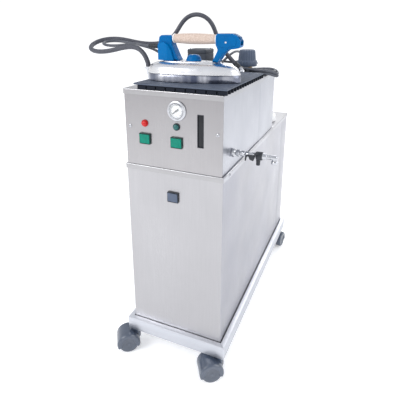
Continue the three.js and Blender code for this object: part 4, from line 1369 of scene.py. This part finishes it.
def iron_posts():
    base, y0, y1 = 745.8, 75, 101
    rear = rounded([
        (-70, base, 1.5), (-19, base, 1.5), (-24, base + 8, 6), (-36.2, 780, 6), (-36.2, 796, 3),
        (-39, 799.5, 4), (-61, 799.5, 5), (-66.5, 796, 5), (-70, 776, 10),
    ], 3, 5)
    post = pillow("rear_post", rear, y0, y1, "xz", 2.2)
    carve(
        post, rod("seat", 7.5, (-47, IRON_Y, GRIP_Z), (-30, IRON_Y, GRIP_Z)),
        rod("hole", 4.3, (-80, IRON_Y, 775), (-60, IRON_Y, 775)),
    )
    housing = pillow("housing", rounded([
        (-70, base, 1), (-30, base, 1), (-35, 765, 8), (-42, 780, 8), (-55, 785, 9), (-66, 782, 6),
        (-70, 775, 4),
    ], 3, 5), y0 - 9.6, y1 + 9.6, "xz", 1.2)
    plan = rounded([
        (-72, y0, 2), (-44, y0 - 9, 4), (-20, y0, 2), (-20, y1, 2), (-44, y1 + 9, 4), (-72, y1, 2),
    ], 2, 5)
    carve(housing, prism("ridge", plan, base - 5, 795, "xy"), operation="INTERSECT")
    boss = lathe("boss", [
        (4.3, -3), (8.2, -3), (8.4, 2.4), (7.8, 3.6), (6.4, 4.2), (4.3, 4.4),
    ], at(*RELIEF_AT), -X, 40)
    merge(post, housing, boss)
    finish(post, "blue", "iron_rear_post", body="iron")
    front = rounded([
        (59, base, 1.2), (71.5, base, 1.2), (84, base + 18, 12), (95, 772.4, 6), (110, 774, 6), (121, 778, 4),
        (121.5, 790, 4), (114, 800, 4), (104, 804.5, 5), (70, 804.5, 5), (67, 800, 4), (67, 781, 4),
        (72, 771, 8), (66.5, base + 14, 14),
    ], 3, 5)
    post = pillow("front_post", front, y0, y1, "xz", 2.2)
    carve(post, rod("seat", 7.5, (60, IRON_Y, GRIP_Z), (82, IRON_Y, GRIP_Z)),
          prism("pocket", oblong(84, 130, y0 + 4, y1 - 4, 2), 781.5, 812, "xy"))
    cheek = pillow("cheek", rounded([
        (73, 778), (92, 776), (112, 780), (113, 792), (104, 799), (73, 799),
    ], 5, 4), y0 - 1.2, y0 + 2, "xz", 0.9, 3)
    merge(post, cheek)
    finish(post, "blue", "iron_front_post", body="iron")
    lever = rounded([
        (86, 784), (110, 785.7), (120, 789.5), (119, 798, 4), (108, 804, 4), (86, 804, 2),
    ], 1.5, 4)
    trigger = pillow("trigger", lever, y0 + 4.7, y1 - 4.7, "xz", 1.6)
    finish(trigger, "blue_dark", "iron_steam_trigger", body="iron_trigger")
    pin = lathe("trigger_pin", [
        (0.05, -1.9), (1.7, -1.8), (2.1, -1.3), (2.1, 1), (1.8, 27.6), (0.05, 27.8),
    ], at(90, y0, 787), Y, 24)
    finish(pin, "chrome", body="iron")


def iron_fittings():
    rings = [(6.9, -10.6), (6.9, 0.4), (8.4, 0.4), (8.9, 1.6)]
    length = 101.2
    steps = 24
    for k in range(1, steps):
        t = k / steps
        rings.append((8.9 + 2.5 * math.sin(math.pi * t) ** 0.7, 1.6 + (length - 3.2) * t))
    rings += [(8.9, length - 1.6), (8.4, length - 0.4), (6.9, length - 0.4), (6.9, length + 10.6)]

    def hand_worn(angle, r, h):
        return r + 0.09 * math.sin(7 * angle + h * 0.31) * math.sin(h * 0.23 + 2 * angle)

    grip = lathe("grip", rings, at(-35, IRON_Y, GRIP_Z), X, 48, hand_worn)
    finish(grip, "cork", "iron_grip", body="iron")
    for name, x in (("rear", -35.4), ("front", 64.2)):
        ring = lathe(f"grip_ring_{name}", [
            (8.5, 0), (10.0, 0.1), (10.3, 0.5), (10.3, 1.7), (10.0, 2.1), (8.5, 2.2),
        ], at(x, IRON_Y, GRIP_Z), X, 48)
        finish(ring, "white", body="iron", slot="polished_steel")

    def scalloped(angle, r, h):
        return r * (1 - 0.045 * max(0, math.cos(9 * angle)) ** 2) if 3.6 < h < 12.6 else r

    knob = lathe("thermostat_knob", [
        (5, 0), (16.6, 0), (17, 0.4), (17, 2.6), (16.7, 3.2), (16.1, 3.6), (15.8, 4.4), (15.2, 7.0),
        (14.0, 9.4), (12.2, 11.3), (9.8, 12.7), (6.8, 13.5), (3.4, 13.8), (0.05, 13.8),
    ], at(12, IRON_Y, 745.8), Z, 108, scalloped)
    mark = pillow("mark", oblong(11.3, 12.7, 80, 87, 0.5, 3), 759.2, 759.9, "xy", 0.2, 2)
    finish(knob, "blue", "iron_thermostat_knob", body="iron_thermostat")
    finish(mark, "mark", body="iron_thermostat")
    dial = lathe("thermostat_ring", [
        (14, 0), (19.6, 0), (19.9, 0.2), (19.9, 0.5), (14, 0.55),
    ], at(12, IRON_Y, 745.5), Z, 64)
    finish(dial, "chrome", body="iron")
    lower = lathe("hose_barb", [
        (3, -9), (5, -8.6), (5, 2), (5.4, 2.6), (5.4, 8.8), (3, 9),
    ], at(*BARB_AT), Z, 32)
    side = rod("side", 4.6, (-104, IRON_Y, 713.2), (-97.2, IRON_Y, 713.2))
    clamp = lathe("clamp", [
        (5.6, 2.6), (7.3, 2.7), (7.5, 3.0), (7.5, 8.2), (7.3, 8.5), (5.6, 8.6),
    ], at(*BARB_AT), Z, 40)
    tail = pillow("tail", oblong(-115, -110.5, 84.8, 91.2, 0.8, 3), 722.2, 727, "xy", 0.4, 2)
    merge(lower, side, clamp, tail)
    finish(lower, "chrome", "iron_hose_barb", body="iron")
    relief = [(4, -9.6), (4, 0.4), (5.9, 0.4)]
    for k in range(6):
        h, r = 1.4 + k * 4.3, 5.9 - k * 0.22
        relief += [(r, h), (r, h + 2.9), (r - 0.9, h + 3.2), (r - 0.9, h + 4.0)]
    relief += [(4.5, 27.4), (4.3, 29.2), (3.7, 29.6)]
    sleeve = lathe("cable_relief", relief, at(*RELIEF_AT), -X, 32)
    finish(sleeve, "black", "iron_cable_relief", body="iron", slot="hose_rubber")


# ---- on the mains lead ----
def plug():
    """The plug and its pins, at the lead's end."""
    x, y, z = -14, 431, 711
    length = 58
    profile = [(3.8, 0), (4.4, 0.4)]
    for k in range(5):
        h, r = 1.6 + k * 4.0, 4.7 + k * 0.35
        profile += [(r, h), (r, h + 2.6), (r - 0.9, h + 2.9), (r - 0.9, h + 3.6)]
    profile += [
        (6.6, 21.8), (7.4, 22.6), (10.4, 24), (13.0, 26), (15.8, 29), (18.2, 32.6), (19, 35), (19, 49),
        (18.4, 49.6), (18.4, 50.6), (19, 51.2), (19, 56.6), (18.3, 57.8), (17, length), (0.05, length),
    ]

    def gripped(angle, r, h):
        return r * (1 - 0.07 * (abs(math.cos(angle)) > 0.86) * (34 < h < 48) * (int(h) % 3 != 0))

    grips = lathe("plug_body", profile, at(x, y, z), X, 72, gripped)
    finish(grips, "black", "mains_plug")
    pin = [(2.4, -1), (2.4, 17.4), (2.0, 18.6), (0.8, 19.2), (0.05, 19.3)]
    pins = merge(*[lathe("pin", pin, at(x + length, y + side, z), X, 24) for side in (-9.5, 9.5)])
    pins.name = "plug_pins"
    finish(pins, "chrome")
    return [grips, pins]


def tie():
    """A strap round the hank's waist."""
    turn = math.radians(HANK["turn"])
    along = Vector((math.cos(turn), math.sin(turn), 0))
    across = Vector((-math.sin(turn), math.cos(turn), 0))
    middle = at(HANK["x"], HANK["y"], 0) + along * HANK["run"] / 2 * MM
    loop = oblong(-18.6, 18.6, 690.7, 708.4, 5, 8)
    inner = offset(loop, 0.7)
    count = len(loop)
    vertices, faces = [], []
    for outline, s in ((loop, -4), (loop, 4), (inner, 4), (inner, -4)):
        vertices += [middle + across * a * MM + Z * b * MM + along * s * MM for a, b in outline]
    for band in range(4):
        a, b = band * count, (band + 1) % 4 * count
        for i in range(count):
            j = (i + 1) % count
            faces.append((a + i, a + j, b + j, b + i))
    strap = mesh_piece("lead_tie", vertices, faces)
    finish(strap, "black")
    return strap


# ---- inside ----
def inner_pieces():
    for node, look in (("boiler", "boiler"), ("heating_element", "brass"), ("pressure_switch", "black"),
                       ("steam_solenoid_valve", "brass"), ("water_tank", "white"), ("feed_pump", "black")):
        keep(node, look)


def fasteners():
    pattern = screw_pattern(4.0)
    small = screw_pattern(2.6)
    screws(pattern, [
        ("panel_screw_left", (-103, -0.1, 607), -Y, "cabinet"),
        ("panel_screw_right", (104, -0.1, 609), -Y, "cabinet"),
        ("deck_screw_right", (120.1, 34, 513), X, "cabinet"),
        ("deck_screw_left", (-120.1, 34, 513), -X, "cabinet"),
        ("rear_screw_upper_left", (-104, 441.1, 600), Y, "cabinet"),
        ("rear_screw_upper_right", (104, 441.1, 600), Y, "cabinet"),
        ("rear_screw_lower_left", (-106, 660.1, 480), Y, "cabinet"),
        ("rear_screw_lower_right", (106, 660.1, 480), Y, "cabinet"),
        ("rear_screw_base_left", (-106, 660.1, 120), Y, "cabinet"),
        ("rear_screw_base_right", (106, 660.1, 120), Y, "cabinet"),
    ])
    screws(small, [
        ("cover_screw_front", (42, IRON_Y, 745.3), Z, "iron"),
        ("cover_screw_rear", (-10, 70, 745.3), Z, "iron"),
        ("junction_screw_a", (-85, 282, 756.8), Z, "cabinet"),
        ("junction_screw_b", (-45, 327, 756.8), Z, "cabinet"),
    ])
    bpy.data.objects.remove(pattern)
    bpy.data.objects.remove(small)


LOOK = materials()
camera()
floor()
studio()
MADE = cords()
base_tray()
for corner_name in CORNERS:
    castor(corner_name)
lower_cabinet()
upper_cabinet()
for switch_name, (switch_x, switch_z, switch_look) in SWITCHES.items():
    rocker_switch(switch_name, switch_x, switch_z, switch_look)
for lamp_name, (lamp_x, lamp_z, ring_look) in LAMPS.items():
    lamp(lamp_name, lamp_x, lamp_z, ring_look)
gauge()
level_window()
drain_valve()
mat()
junction_box()
hose_outlet()
mains_gland()
boiler_cap()
filler_cap()
iron_shell()
iron_posts()
iron_fittings()
inner_pieces()
fasteners()
declare_cords(MADE, [*plug(), tie()])
